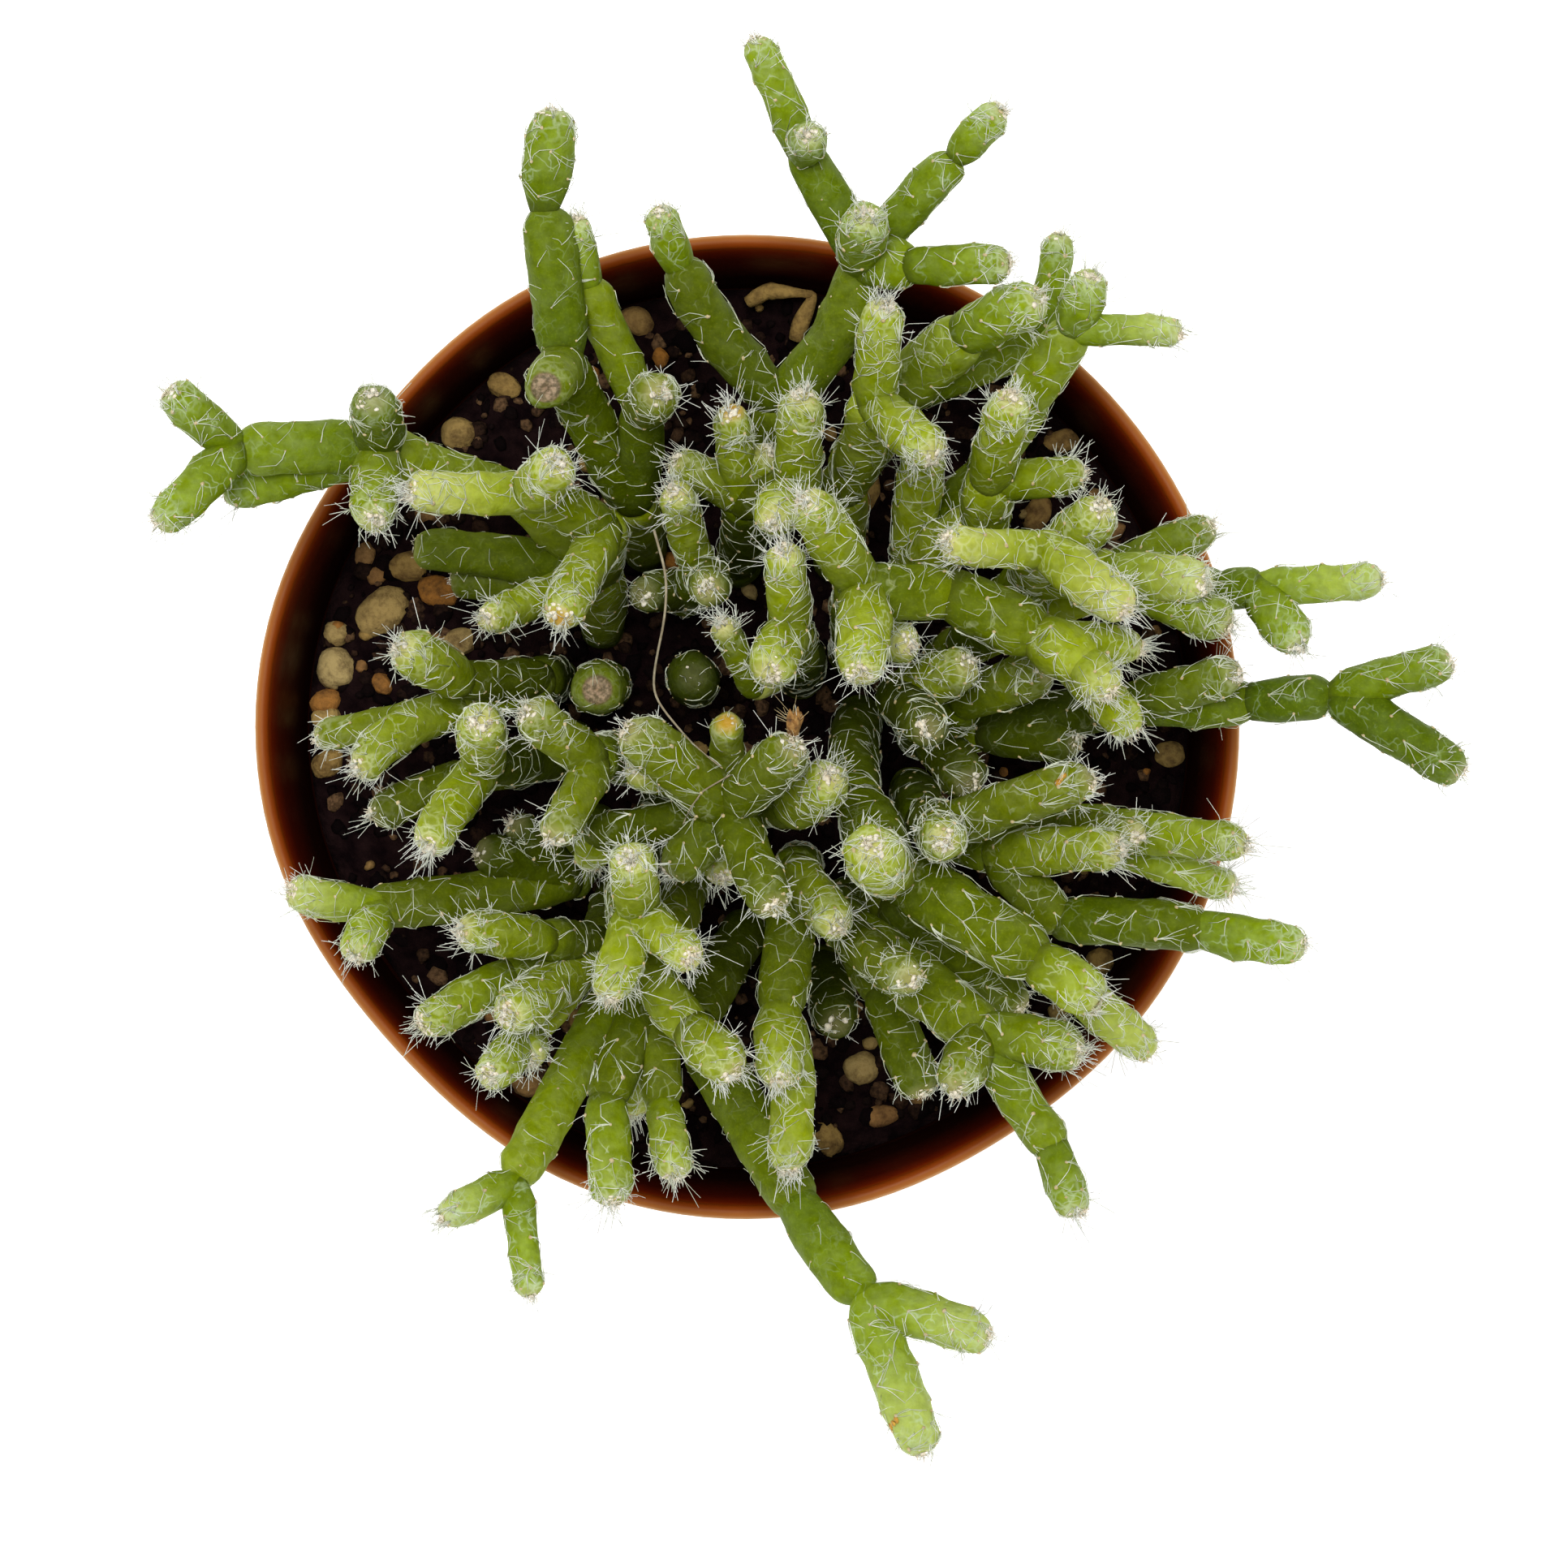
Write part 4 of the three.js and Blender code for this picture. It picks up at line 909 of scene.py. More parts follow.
def place_areoles(stem):
    step = SKIN_PER_AREOLE / (2 * math.pi * stem["radius"])
    crowd_from = stem["length"] - CROWDED_FROM * stem["width"]
    last = stem["length"] - (0.12 if stem["tip"] else 0.1) * stem["width"]
    places, distance, turn = [], FIRST_AREOLE + luck.uniform(0, step), luck.uniform(0, ANY_TURN)
    while distance < last:
        places.append((distance, turn))
        turn += GOLDEN_TURN + luck.normal(0, 0.12)
        crowded = stem["tip"] and distance > crowd_from
        distance += step * luck.uniform(0.75, 1.25) * (CROWDED_STEP if crowded else 1)
    return np.array(places).reshape(-1, 2)


for _, stem in every_stem:
    rooted_foot = stem["name"].endswith("0")
    stem["areoles"] = np.empty((0, 2)) if rooted_foot else place_areoles(stem)
print("areoles:", sum(len(stem["areoles"]) for _, stem in every_stem))

# %% [markdown]
# ## The stems
#
# Each stem is a copy of a master, laid along its own line. Its round section is made a
# little uneven by slow waves, and swells under each areole. Every point also keeps a few
# numbers for the finish: how old the skin is, how near a growing tip, and any scar.

# %% Lay one stem
AREOLE_SWELL = 0.17
AREOLE_REACH = 0.75
AREOLES_MEET = 1.3  # the most that swellings that meet add up to
FAR_FROM_POLE = 4.0  # millimetres from the middle of a tip, past which it has no effect
DULL_NECKS = 0.9  # necks narrower than this are dull
NECK_LENGTH = 0.3
FOOT_YOUTH, BRIGHT_FOOT_YOUTH = 0.35, 0.7


def section_waves(stem, distance, angle):
    a, b, c, d, e = stem["phases"]
    waves = 0.024 * np.cos(2 * angle + a) + 0.018 * np.cos(3 * angle + b + 0.35 * distance)
    waves += 0.012 * np.cos(5 * angle + c - 0.6 * distance)
    return 1 + waves + 0.024 * np.sin(0.9 * distance + d) + 0.014 * np.sin(2.1 * distance + e)


def areole_swell(stem, distance, angle):
    total = np.zeros_like(distance)
    for at, turn in stem["areoles"]:
        away = np.abs((angle - turn + math.pi) % (2 * math.pi) - math.pi) * stem["radius"]
        total += np.exp(-((distance - at) ** 2 + away**2) / AREOLE_REACH**2)
    return AREOLE_SWELL * np.minimum(total, AREOLES_MEET)


def lay_stem(stem):
    straight = stem["end"] - stem["swell"] - stem["dome"]
    rings = FEW if straight < SHORT_PART else SOME if straight < LONG_PART else MANY
    points, faces = masters[rings]
    zones = (-1, 0, 1, 2, 3)
    end, foot = stem["end"], FOOT_LENGTH * stem["width"]
    distance = np.interp(points[:, 2], zones, (-foot, 0, stem["swell"], end - stem["dome"], end))
    angle = np.arctan2(points[:, 1], points[:, 0])
    share = np.hypot(points[:, 0], points[:, 1])
    on_ring = share > TINY
    share = np.where(points[:, 2] > 2, 1, share) * on_ring
    radius = share * skin_radius(stem, distance) * section_waves(stem, distance, angle)
    radius += share**2 * areole_swell(stem, distance, angle) * (radius / stem["radius"])
    placed = centre_of(stem, distance) + radius[:, None] * around(stem, angle)
    near_tip = smoothstep(distance / end, 0.0, 0.85)
    dull_neck = stem["neck"] < DULL_NECKS and not stem["bright"]
    near_neck = (1 - smoothstep(distance, 0, NECK_LENGTH * stem["width"])) * dull_neck
    foot_youth = BRIGHT_FOOT_YOUTH if stem["bright"] else FOOT_YOUTH
    pole = np.hypot(radius, end - distance) if stem["tip"] else np.full(len(points), FAR_FROM_POLE)
    alike = ("old", "arm", "shaded", "scar", "orange", "hairy")
    return placed, faces, {
        **{title: np.full(len(points), stem[title]) for title in alike},
        "young": stem["young"] * (foot_youth + (1 - foot_youth) * near_tip),
        "neck": near_neck,
        "pole": np.minimum(pole, FAR_FROM_POLE) / FAR_FROM_POLE,
        "bright": stem["bright"] * near_tip**2,
    }


# %% [markdown]
# ## The skin of the stems
#
# The living skin is a waxy yellow-green with a fine pale speckle, which is its breathing
# pores. Older skin is a darker, greyer green, growing tips are bright yellow-green, and
# the neck of each joint is dull and brownish. A little light passes into the flesh, so
# the shader scatters some of it under the surface.

# %% Stem skin
skin = Finish("stem_skin", 0.5, gloss=0.04)
patches = skin.speckle(5, (0.35, (0.078, 0.116, 0.0)), (0.68, (0.13, 0.18, 0.0)))
old_patches = skin.speckle(4, (0.35, (0.06, 0.094, 0.001)), (0.7, (0.098, 0.142, 0.005)))
skin.coat(skin.mix(skin.read("old"), patches, old_patches))
skin.layer(skin.by("young", (0.0, 0), (1.0, 0.82)), (0.385, 0.48, 0.006))
skin.layer(skin.read("bright"), (0.62, 0.66, 0.17))
skin.shade(skin.speckle(0.8, (0.35, 0.74), (0.65, 1), detail=4))
# Pale patches: partly the waxy bloom of the skin, partly a painted sheen in place of its haze.
skin.layer(skin.speckle(2.4, (0.5, 0), (0.76, 0.07), detail=4), (0.5, 0.56, 0.3))
young_bloom_and_sheen = skin.speckle(1.1, (0.4, 0), (0.7, 0.24), detail=4)
skin.layer(skin.times(young_bloom_and_sheen, skin.read("young")), (0.6, 0.66, 0.3))
pores = skin.speckle(0.22, (0.54, 0), (0.76, 0.16), detail=1)
skin.layer(pores, (0.38, 0.46, 0.02))

# The finest hairs lie so close that they are only lines on the skin.
hair_share = skin.by("hairy", (0.1, 0.25), (0.6, 1))
web_share = skin.times(skin.by("young", (0.15, 0.4), (0.7, 1)), hair_share)
for size, thick in ((2.2, 0.034), (3.4, 0.022)):
    web = skin.ramp(skin.net(size), (0.0, 0.62), (thick, 0))
    gaps = skin.speckle(1.7, (0.48, 0), (0.56, 1), detail=1)
    skin.layer(skin.times(skin.times(web, gaps), web_share), (0.6, 0.67, 0.42))

# A growing tip has a closer net, and a pad of cream wool at its pole.
tip_net = skin.ramp(skin.net(1.0), (0.0, 0.55), (0.16, 0))
tip_net = skin.times(tip_net, skin.by("pole", (0.3, 1), (0.9, 0)))
skin.layer(skin.times(tip_net, skin.by("young", (0.15, 0.1), (0.6, 1))), (0.66, 0.72, 0.46))
wool_pad = skin.by("pole", (0.08, 0.6), (0.42, 0))
skin.layer(skin.times(wool_pad, hair_share), (0.68, 0.62, 0.32))
skin.layer(skin.by("neck", (0.3, 0), (1.0, 0.5)), (0.045, 0.05, 0.008))

# One tip is orange at its pole, and two ends are healed scars with a paler ring.
orange_spot = skin.by("pole", (0.1, 0.8), (0.34, 0))
skin.layer(skin.read("orange"), skin.mix(orange_spot, skin.colour, (0.58, 0.3, 0.015)))
scar_spot = skin.by("pole", (0.29, 0.9), (0.36, 0))
scar_ring = skin.by(
    "pole", (0.0, (0.32, 0.19, 0.14)), (0.23, (0.5, 0.36, 0.28)), (0.34, (0.18, 0.1, 0.06))
)
scar = skin.times(scar_ring, skin.speckle(0.35, (0.4, 0.3), (0.65, 1), detail=4))
skin.layer(skin.read("scar"), skin.mix(scar_spot, skin.colour, scar))

# Painted shade: the skin is painted darker low in the pot, where it is shaded, and on the
# stems listed as shaded or dim. It is also cooler on the outer arms.
height = skin.node("SeparateXYZ", Vector=skin.place()).outputs["Z"]
low_share = skin.node("MapRange", Value=height, From_Min=0.07, From_Max=0.1).outputs[0]
skin.shade(skin.ramp(low_share, (0.0, 0.75), (0.6, 1)))
skin.shade(skin.by("shaded", (0.0, 1), (0.5, 0.7), (1.0, 0.42)))
skin.shade(skin.by("arm", (0.0, (0.95, 0.93, 0.8)), (1.0, (0.84, 0.92, 0.9))))
skin.shader.inputs["Subsurface Weight"].default_value = 0.15
skin.shader.inputs["Subsurface Radius"].default_value = (0.6, 1.0, 0.15)
skin.shader.inputs["Subsurface Scale"].default_value = 0.8 * MM
skin.bump(skin.noise(0.4), 0.09)
print("nodes in the skin:", len(skin.tree.nodes))

# %% Build the stems of every plant
def triangles_of(start):
    return sum(many for title, many in triangles_made.items() if title.startswith(start))


skins = []
for name, stems in plants.items():
    laid = join_laid([lay_stem(stem) for stem in stems])
    skins.append((*laid[:2], {}))
    add_piece(piece_of("stems_" + name, laid, skin), "cactus_stem", "plant_" + name)
print("stem triangles:", triangles_of("stems_"))

# %% [markdown]
# ## Hairs
#
# A hair is a fine white thread that tapers to a point. Real hair systems are lost when a
# model is handed on, so each hair here is a small three-sided tube of its own. Three
# masters, with fewer rings for the shorter hairs, are drawn ring by ring, and copies are
# laid along bent lines. Most hairs leave their areole in small bundles and lie on the
# stem, where they cross those of the next areoles like a loose net. A few stand away.

# %% The hair masters
HAIR_RADIUS = 0.038
TUFT_RADIUS, WOOL_RADIUS = 0.035, 0.032
HAIR_THICKNESS = (0.7, 1.2)  # of its radius
LONG_HAIR, TUFT_HAIR, SHORT_HAIR = 5, 4, 3  # steps along it


def hair_master(steps):
    """A tube with a ring at each step, that narrows to a point at the last one."""
    stations = [(step, 1 - 0.5 * step / steps) for step in range(steps - 1)]
    return read_master(extruded("hair_master", 3, stations, None, steps - 1))


hair_masters = {steps: hair_master(steps) for steps in (LONG_HAIR, TUFT_HAIR, SHORT_HAIR)}
print("faces of a hair:", {steps: len(faces) for steps, (_, faces) in hair_masters.items()})


def lay_along(points, faces, lines, helper, thickness):
    """Copies of a tube along lines of shape (tubes, steps, 3), with a thickness at each step."""
    towards = unit(np.gradient(lines, axis=1))
    side = unit(np.cross(towards, helper))
    other = np.cross(towards, side)
    step = np.rint(points[:, 2]).astype(int)
    thickness = np.broadcast_to(thickness, (*lines.shape[:2], 1))
    across = points[None, :, :2] * thickness[:, step]
    placed = lines[:, step] + across[..., :1] * side[:, step] + across[..., 1:] * other[:, step]
    return all_copies(placed, faces)


def lay_hairs(lines, radius=HAIR_RADIUS):
    """Copies of a hair along lines, each turned and thickened by chance."""
    points, faces = hair_masters[lines.shape[1]]
    helper = unit(luck.normal(size=(len(lines), 1, 3)))
    thickness = luck.uniform(*HAIR_THICKNESS, (len(lines), 1, 1))
    return lay_along(points * (radius, radius, 1), faces, lines, helper, thickness)


# %% The skin as hairs follow it
MOST_CLIMB = 1.4  # radians up the dome, past which the pad of wool begins


def over_skin(stem, reach, angle, height):
    """Places at a height over the skin, at distances measured on the skin itself."""
    start = stem["end"] - stem["dome"]
    climb = np.clip((reach - start) / stem["radius"], 0, MOST_CLIMB)
    distance = np.where(climb > 0, start + stem["dome"] * np.sin(climb), reach)
    radius = skin_radius(stem, distance) * section_waves(stem, distance, angle)
    radius += areole_swell(stem, distance, angle) * radius / stem["radius"]
    out = around(stem, angle)
    lift = np.cos(climb)[:, None] * out + np.sin(climb)[:, None] * stem["along"]
    return centre_of(stem, distance) + radius[:, None] * out + height[:, None] * lift, radius


def reach_of(stem, distance):
    """Turns a distance along the middle line to one on the skin."""
    start = stem["end"] - stem["dome"]
    share = np.clip((distance - start) / stem["dome"], 0, 0.99)
    return np.where(share > 0, start + stem["radius"] * np.arcsin(share), distance)


# %% Hairs that start from the areoles
BUNDLED = 0.55  # share of the areoles whose hairs keep together
FEWEST_HAIRS = 0.4
MOST_LYING = 3.3  # hairs of an areole on a hairy stem
MORE_AT_TIP = 3.4
HAIR_LENGTH = (1.3, 4.5)
STANDING, STANDING_AT_TIP = 0.02, 0.2  # share of the hairs that stand away
STANDING_LENGTH = 0.55  # of that of a lying hair
MOST_CURL = 0.42  # radians, as one standard deviation
LYING_HEIGHT = 0.05  # keeps the straight pieces of a bent hair out of the skin


def hairs_on(stem):
    """Lines of the hairs that lie along a stem, and of those that stand away from it."""
    spots = stem["areoles"]
    if not len(spots):
        return np.empty((0, LONG_HAIR, 3)), np.empty((0, LONG_HAIR, 3))
    close = smoothstep(spots[:, 0] / stem["length"], 0.4, 1.0) if stem["tip"] else 0.15
    many = len(spots)
    wanted = FEWEST_HAIRS + stem["hairy"] * (MOST_LYING + MORE_AT_TIP * close)
    wanted = wanted * luck.uniform(0.4, 1.6, many)
    count = np.floor(wanted + luck.uniform(0, 1, many)).astype(int)
    spread = np.where(luck.uniform(0, 1, many) < BUNDLED, 0.2, 1.0)
    aim = luck.choice((-1, 1), many) * luck.normal(0.9, 0.6, many)
    each = np.column_stack([spots, spread, aim, close * np.ones(many)])
    at, turn, spread, aim, close = np.repeat(each, count, axis=0).T
    many = len(at)
    length = luck.uniform(*HAIR_LENGTH, many) * (0.7 + 0.3 * stem["hairy"]) * (1 - 0.3 * close)
    heading = aim + spread * luck.normal(0, 1, many)
    curl = luck.normal(0, MOST_CURL, many)
    standing = luck.uniform(0, 1, many) < (STANDING + STANDING_AT_TIP * close) * stem["hairy"]
    length = np.where(standing, STANDING_LENGTH * length, length)
    rise = np.where(standing, luck.uniform(0.3, 0.8, many), luck.uniform(0.0, 0.05, many)) * length
    arch = np.where(standing, 0.0, luck.uniform(0.0, 0.16, many))
    line = np.empty((many, LONG_HAIR, 3))
    reach, angle = reach_of(stem, at), turn.copy()
    for i, share in enumerate(np.linspace(0, 1, LONG_HAIR)):
        height = LYING_HEIGHT + rise * share**1.3 + arch * 4 * share * (1 - share)
        line[:, i], radius = over_skin(stem, reach, angle, height)
        heading = heading + curl * length / (LONG_HAIR - 1) + luck.normal(0, 0.1, many)
        ahead = np.where(standing, 0.6, 1.0) * length / (LONG_HAIR - 1)
        reach = reach + ahead * np.cos(heading)
        angle = angle + ahead * np.sin(heading) / np.maximum(radius, 0.7)
    return line[~standing], line[standing]


# %% [markdown]
# ## Growing tips
#
# A growing tip ends in a small cream pad of wool. Young areoles crowd round it, and each
# one sends out a tuft of hairs that fan outwards and forwards, like a soft brush. The
# wool itself is many short bent hairs over small blobs that lie close together.

# %% Hairs of the growing tips
MOST_TUFTS = 17
MOST_IN_TUFT = 5
TUFT_LENGTH = (0.6, 2.3)
MOST_WOOL = 48
WOOL_LENGTH = (0.3, 0.8)
PAD_SPREAD, PAD_TURN = 0.1, 1.1  # of the pad of wool, along the dome and round it


def bent_lines(root, ahead, length, steps, bend):
    """Lines from roots, each bent to one side and a little crooked."""
    shares = np.linspace(0, 1, steps)[None, :, None]
    sideways = luck.normal(0, bend, (len(root), 1, 3)) * shares**2
    crooked = luck.normal(0, 0.05, (len(root), steps, 3)) * (shares > 0)
    return root[:, None] + length[:, None, None] * (shares * ahead[:, None] + sideways + crooked)


def on_dome(stem, share, angle):
    """Places on the dome of a tip, and the way out of the skin there."""
    distance = stem["end"] - stem["dome"] * (1 - share)
    out = around(stem, angle)
    place = centre_of(stem, distance) + (0.95 * skin_radius(stem, distance))[:, None] * out
    lean = smoothstep(share, 0.2, 1.0)[:, None]
    return place, unit((1 - lean) * out + lean * stem["along"])


def tip_tufts(stem):
    if not stem["tip"] or stem["scar"]:
        return np.empty((0, TUFT_HAIR, 3))
    tufts = int(1 + MOST_TUFTS * stem["hairy"])
    count = luck.integers(2, 3 + int(MOST_IN_TUFT * stem["hairy"]), tufts)
    turn = luck.uniform(0, ANY_TURN) + GOLDEN_TURN * np.arange(tufts)
    share, angle = np.repeat([luck.uniform(-0.4, 1.3, tufts), turn], count, axis=1)
    root, out = on_dome(stem, np.minimum(share, 0.96), angle)
    many = len(root)
    ahead = luck.uniform(0.35, 1.0, (many, 1)) * out + luck.normal(0, 0.34, (many, 3))
    ahead = ahead + luck.uniform(0.1, 0.95, (many, 1)) * stem["along"]
    sunk = np.minimum((ahead * out).sum(1, keepdims=True) - 0.3, 0)
    ahead = unit(ahead - sunk * out)
    length = luck.uniform(*TUFT_LENGTH, many) * (0.45 + 0.55 * stem["hairy"])
    return bent_lines(root, ahead, length, TUFT_HAIR, 0.3)


def in_pad(stem, many):
    """Shares and angles within the pad of wool, which lies a little to one side."""
    share = 1 - np.abs(luck.normal(0, PAD_SPREAD, many))
    return share, stem["phases"][0] + luck.normal(0, PAD_TURN, many)


def tip_wool(stem):
    if not stem["tip"] or stem["scar"]:
        return np.empty((0, SHORT_HAIR, 3))
    many = int(MOST_WOOL * stem["hairy"]) * (stem["orange"] == 0)
    root, out = on_dome(stem, *in_pad(stem, many))
    ahead = unit(out + luck.normal(0, 0.85, (many, 3)))
    length = luck.uniform(*WOOL_LENGTH, many) * (0.6 + 0.4 * stem["hairy"])
    return bent_lines(root, ahead, length, SHORT_HAIR, 0.2)


# %% The master of the dots
def blob_master(name, level, flat):
    """A round blob, flattened as an areole or a pad of wool is."""
    bpy.ops.mesh.primitive_ico_sphere_add(subdivisions=level, radius=1)
    piece = bpy.context.object
    piece.name = name
    bpy.ops.object.mode_set(mode="EDIT")
    bpy.ops.mesh.select_all(action="SELECT")
    bpy.ops.transform.resize(value=(1, 1, flat))
    bpy.ops.object.mode_set(mode="OBJECT")
    return read_master(piece)


DOT_FLATNESS = 0.55
dot_points, dot_faces = blob_master("dot_master", 1, DOT_FLATNESS)
print("faces of a dot:", len(dot_faces))


def lay_blobs(points, faces, places, outward, size, rough):
    """Copies of a blob at places, each facing outward and a little misshapen."""
    many = len(places)
    spin = unit(luck.normal(size=(many, 3)))
    side = unit(np.cross(outward, spin))
    other = np.cross(outward, side)
    shape = points[None] * (1 + luck.normal(0, rough, (many, len(points), 1)))
    shape = shape * size[:, None, None] * luck.uniform(0.75, 1.25, (many, 1, 3))
    placed = places[:, None] + shape[..., :1] * side[:, None]
    placed = placed + shape[..., 1:2] * other[:, None] + shape[..., 2:] * outward[:, None]
    return all_copies(placed, faces)


# %% [markdown]
# ## Finishes of hair and wool
#
# The hairs are colourless tubes full of air, so they look white and let some light
# through. The wool of the areoles is the same hair packed close, and has aged to cream
# and tan. A hair that lies on the skin lets its green through, so it gets a finish of
# its own. All are rough, and all vary a little from place to place.

# %% Hair and wool
hair_white = speckled(
    "hair_white", 0.6, 3, (0.3, (0.58, 0.61, 0.48)), (0.7, (0.9, 0.91, 0.86)), gloss=0.2
)
hair_lying = speckled(
    "hair_lying", 0.6, 2, (0.3, (0.52, 0.57, 0.38)), (0.7, (0.85, 0.88, 0.74)), gloss=0.12
)
wool_cream = speckled("wool_cream", 0.9, 0.7, (0.3, (0.74, 0.64, 0.46)), (0.7, (0.96, 0.91, 0.78)))
wool_tan = speckled("wool_tan", 0.9, 0.7, (0.3, (0.45, 0.34, 0.15)), (0.7, (0.7, 0.58, 0.34)))
for wool in (wool_cream, wool_tan):
    wool.bump(wool.noise(0.15, detail=2), 0.08)
HAIR_FINISHES = (hair_white, hair_lying, wool_cream, wool_tan)
WHITE, LYING, CREAM, TAN = range(len(HAIR_FINISHES))
print("finishes of hair:", [each.material.name for each in HAIR_FINISHES])

# %% Dots of wool
PAD_DOTS, TIP_DOTS = 16, 8
PAD_DOT, PAD_FLATNESS = (0.14, 0.3), 0.6
TIP_DOT = (0.12, 0.22)
WOOLLY_DOT = (0.11, 0.21)
BARE_DOT = (0.06, 0.12)
BARE_BELOW = 0.3  # hairiness under which the dots are hardly seen
DOT_ROUGHNESS = 0.16


def dots_of(stem):
    at, turn = stem["areoles"].T
    out = around(stem, turn)
    radius = skin_radius(stem, at) * section_waves(stem, at, turn) + 0.9 * AREOLE_SWELL
    return centre_of(stem, at) + radius[:, None] * out, out


def tip_dots(stem):
    """Places of small tufts of wool all over the dome of a tip."""
    many = int(TIP_DOTS * stem["hairy"])
    share = luck.uniform(0.1, 0.95, many)
    return on_dome(stem, share, luck.uniform(0, 2 * math.pi, many))


def pad_dots(stem):
    return on_dome(stem, *in_pad(stem, int(PAD_DOTS * stem["hairy"])))


def blobs_at(dotted, sizes, thick=1.0):
    places, outward = (np.concatenate(each) for each in zip(*dotted))
    size = luck.uniform(*sizes, len(places))
    points = dot_points * (1, 1, thick)
    return lay_blobs(points, dot_faces, places, outward, size, DOT_ROUGHNESS)


# %% Build the hair and wool of every plant
hair_count = 0
for name, stems in plants.items():
    lying, standing = (np.concatenate(lines) for lines in zip(*map(hairs_on, stems)))
    tufted = np.concatenate([tip_tufts(stem) for stem in stems])
    woolly = np.concatenate([tip_wool(stem) for stem in stems])
    hair_count += len(lying) + len(standing) + len(tufted) + len(woolly)
    sets = [(lay_hairs(lying), LYING), (lay_hairs(standing), WHITE)]
    sets += [(lay_hairs(tufted, TUFT_RADIUS), WHITE), (lay_hairs(woolly, WOOL_RADIUS), CREAM)]
    tips = [stem for stem in stems if stem["tip"] and not stem["scar"]]
    if tips:
        sets.append((blobs_at([pad_dots(stem) for stem in tips], PAD_DOT, PAD_FLATNESS), CREAM))
        sets.append((blobs_at([tip_dots(stem) for stem in tips], TIP_DOT), TAN))
    dotted = [stem for stem in stems if len(stem["areoles"])]
    bare = [dots_of(stem) for stem in dotted if stem["hairy"] < BARE_BELOW]
    woolled = [dots_of(stem) for stem in dotted if stem["hairy"] >= BARE_BELOW]
    for dots, sizes in ((bare, BARE_DOT), (woolled, WOOLLY_DOT)):
        if dots:
            sets.append((blobs_at(dots, sizes), TAN))
    laid = [(*copies, {"finish": np.full(len(copies[1]), which)}) for copies, which in sets]
    points, faces, numbers = join_laid(laid)
    piece = piece_of("hairs_" + name, (points, faces), *HAIR_FINISHES)
    which = numbers["finish"].astype(np.int32)
    piece.data.polygons.foreach_set("material_index", which)
    add_piece(piece, "cactus_hair")
print("hairs:", hair_count, "and their triangles:", triangles_of("hairs_"))

# %% [markdown]
# ## Small things on the plant
#
# A few odd things make the plant look grown: a dry fibre that has blown over it, a
# withered bud, and rusty spots where the skin has healed. Each has to touch the stems. So
# a ray is shot from the eye through the place where it is seen, and the thing is put
# where that line of sight meets the skin.

# %% Lines of sight
skin_points, skin_faces, _ = join_laid(skins)
skin_tree = BVHTree.FromPolygons(skin_points.tolist(), skin_faces.tolist())
EYE = np.array([EYE_X, EYE_Y, POT_HEIGHT + EYE_ABOVE_MOUTH])
NEVER_ALONG = (0.1, 0.2, 1.0)  # a direction that no line here runs in


def touched(u, v):
    """Where the line of sight through a place meets a stem, and the way out of its skin."""
    hit, normal, _, _ = skin_tree.ray_cast(Vector(EYE), Vector(seen(u, v, POT_HEIGHT) - EYE))
    return (None, None) if hit is None else (np.array(hit), np.array(normal))


def smooth_way(rows, many, rounds):
    """A line of many points through rows of [u, v, z], with its corners rounded off."""
    rows = np.array(rows)
    apart = np.linalg.norm(np.diff(rows[:, :2], axis=0), axis=1)
    steps = np.concatenate([[0], np.cumsum(apart)])
    at = np.linspace(0, steps[-1], many)
    way = np.column_stack([np.interp(at, steps, rows[:, i]) for i in range(3)])
    for _ in range(rounds):
        way[1:-1] = (way[:-2] + 2 * way[1:-1] + way[2:]) / 4
    return way


def lay_tube(line, radius, sides):
    """A tube drawn ring by ring, and then laid along a line."""
    points, faces = read_master(extruded("tube_master", sides, [(i, 1) for i in range(len(line))]))
    return lay_along(points, faces, line[None], NEVER_ALONG, radius[None, :, None])


# %% The dry fibre
FIBRE_WAYS = (
    (0.13, ((-8, 17, 96), (-6.9, 13.1, 96), (-7, 9.7, 97), (-7.9, 5.4, 99), (-8.2, 2.9, 103),
            (-6.9, 1.1, 105), (-4.5, -1.7, 105), (-2.3, -3.4, 104))),
    (0.08, ((-1.4, -4.1, 104), (-3.8, -5.5, 104), (-4.9, -7, 103), (-5.5, -8.4, 102))),
)
FIBRE_POINTS = 40
FIBRE_ROUNDS = 6
FIBRE_TAPER = 0.35
FIBRE_CLEARANCE = 0.8  # of its thickness, over the skin

dry_fibre = speckled(
    "dry_fibre", 0.8, 1.2, (0.3, (0.24, 0.19, 0.12)), (0.7, (0.46, 0.4, 0.28)), gloss=0.15
)
laid = []
for thickness, rows in FIBRE_WAYS:
    way = smooth_way(rows, FIBRE_POINTS, FIBRE_ROUNDS)
    for row in way:
        hit, _ = touched(row[0], row[1])
        if hit is not None:
            row[2] = max(row[2], hit[2] + FIBRE_CLEARANCE * thickness)
    for _ in range(2):
        way[1:-1, 2] = np.maximum(way[1:-1, 2], np.maximum(way[:-2, 2], way[2:, 2]))
    way[1:-1, 2] = (way[:-2, 2] + way[1:-1, 2] + way[2:, 2]) / 3
    line = np.array([seen(*row) for row in way])
    radius = thickness * (1 - FIBRE_TAPER * np.linspace(0, 1, len(line)))
    laid.append((*lay_tube(line, radius, 5), {}))
add_piece(piece_of("dry_fibre", join_laid(laid), dry_fibre), "cactus_hair")
print("height of the fibre:", way[:, 2].min().round(1), way[:, 2].max().round(1))

# %% The withered bud
BUD_ROOT = (4.1, -1.1)
BUD_AHEAD = unit(np.array([-0.1, 1.0, 0.25]))
BUD_SUNK = 0.6
BUD_SCALES = 8
SCALE_LENGTH = (0.95, 1.35)
SCALE_SHAPE = (0.3, 0.3, 2.0)
BUD_HAIRS = 22
BUD_HAIR_LENGTH = (0.6, 1.5)

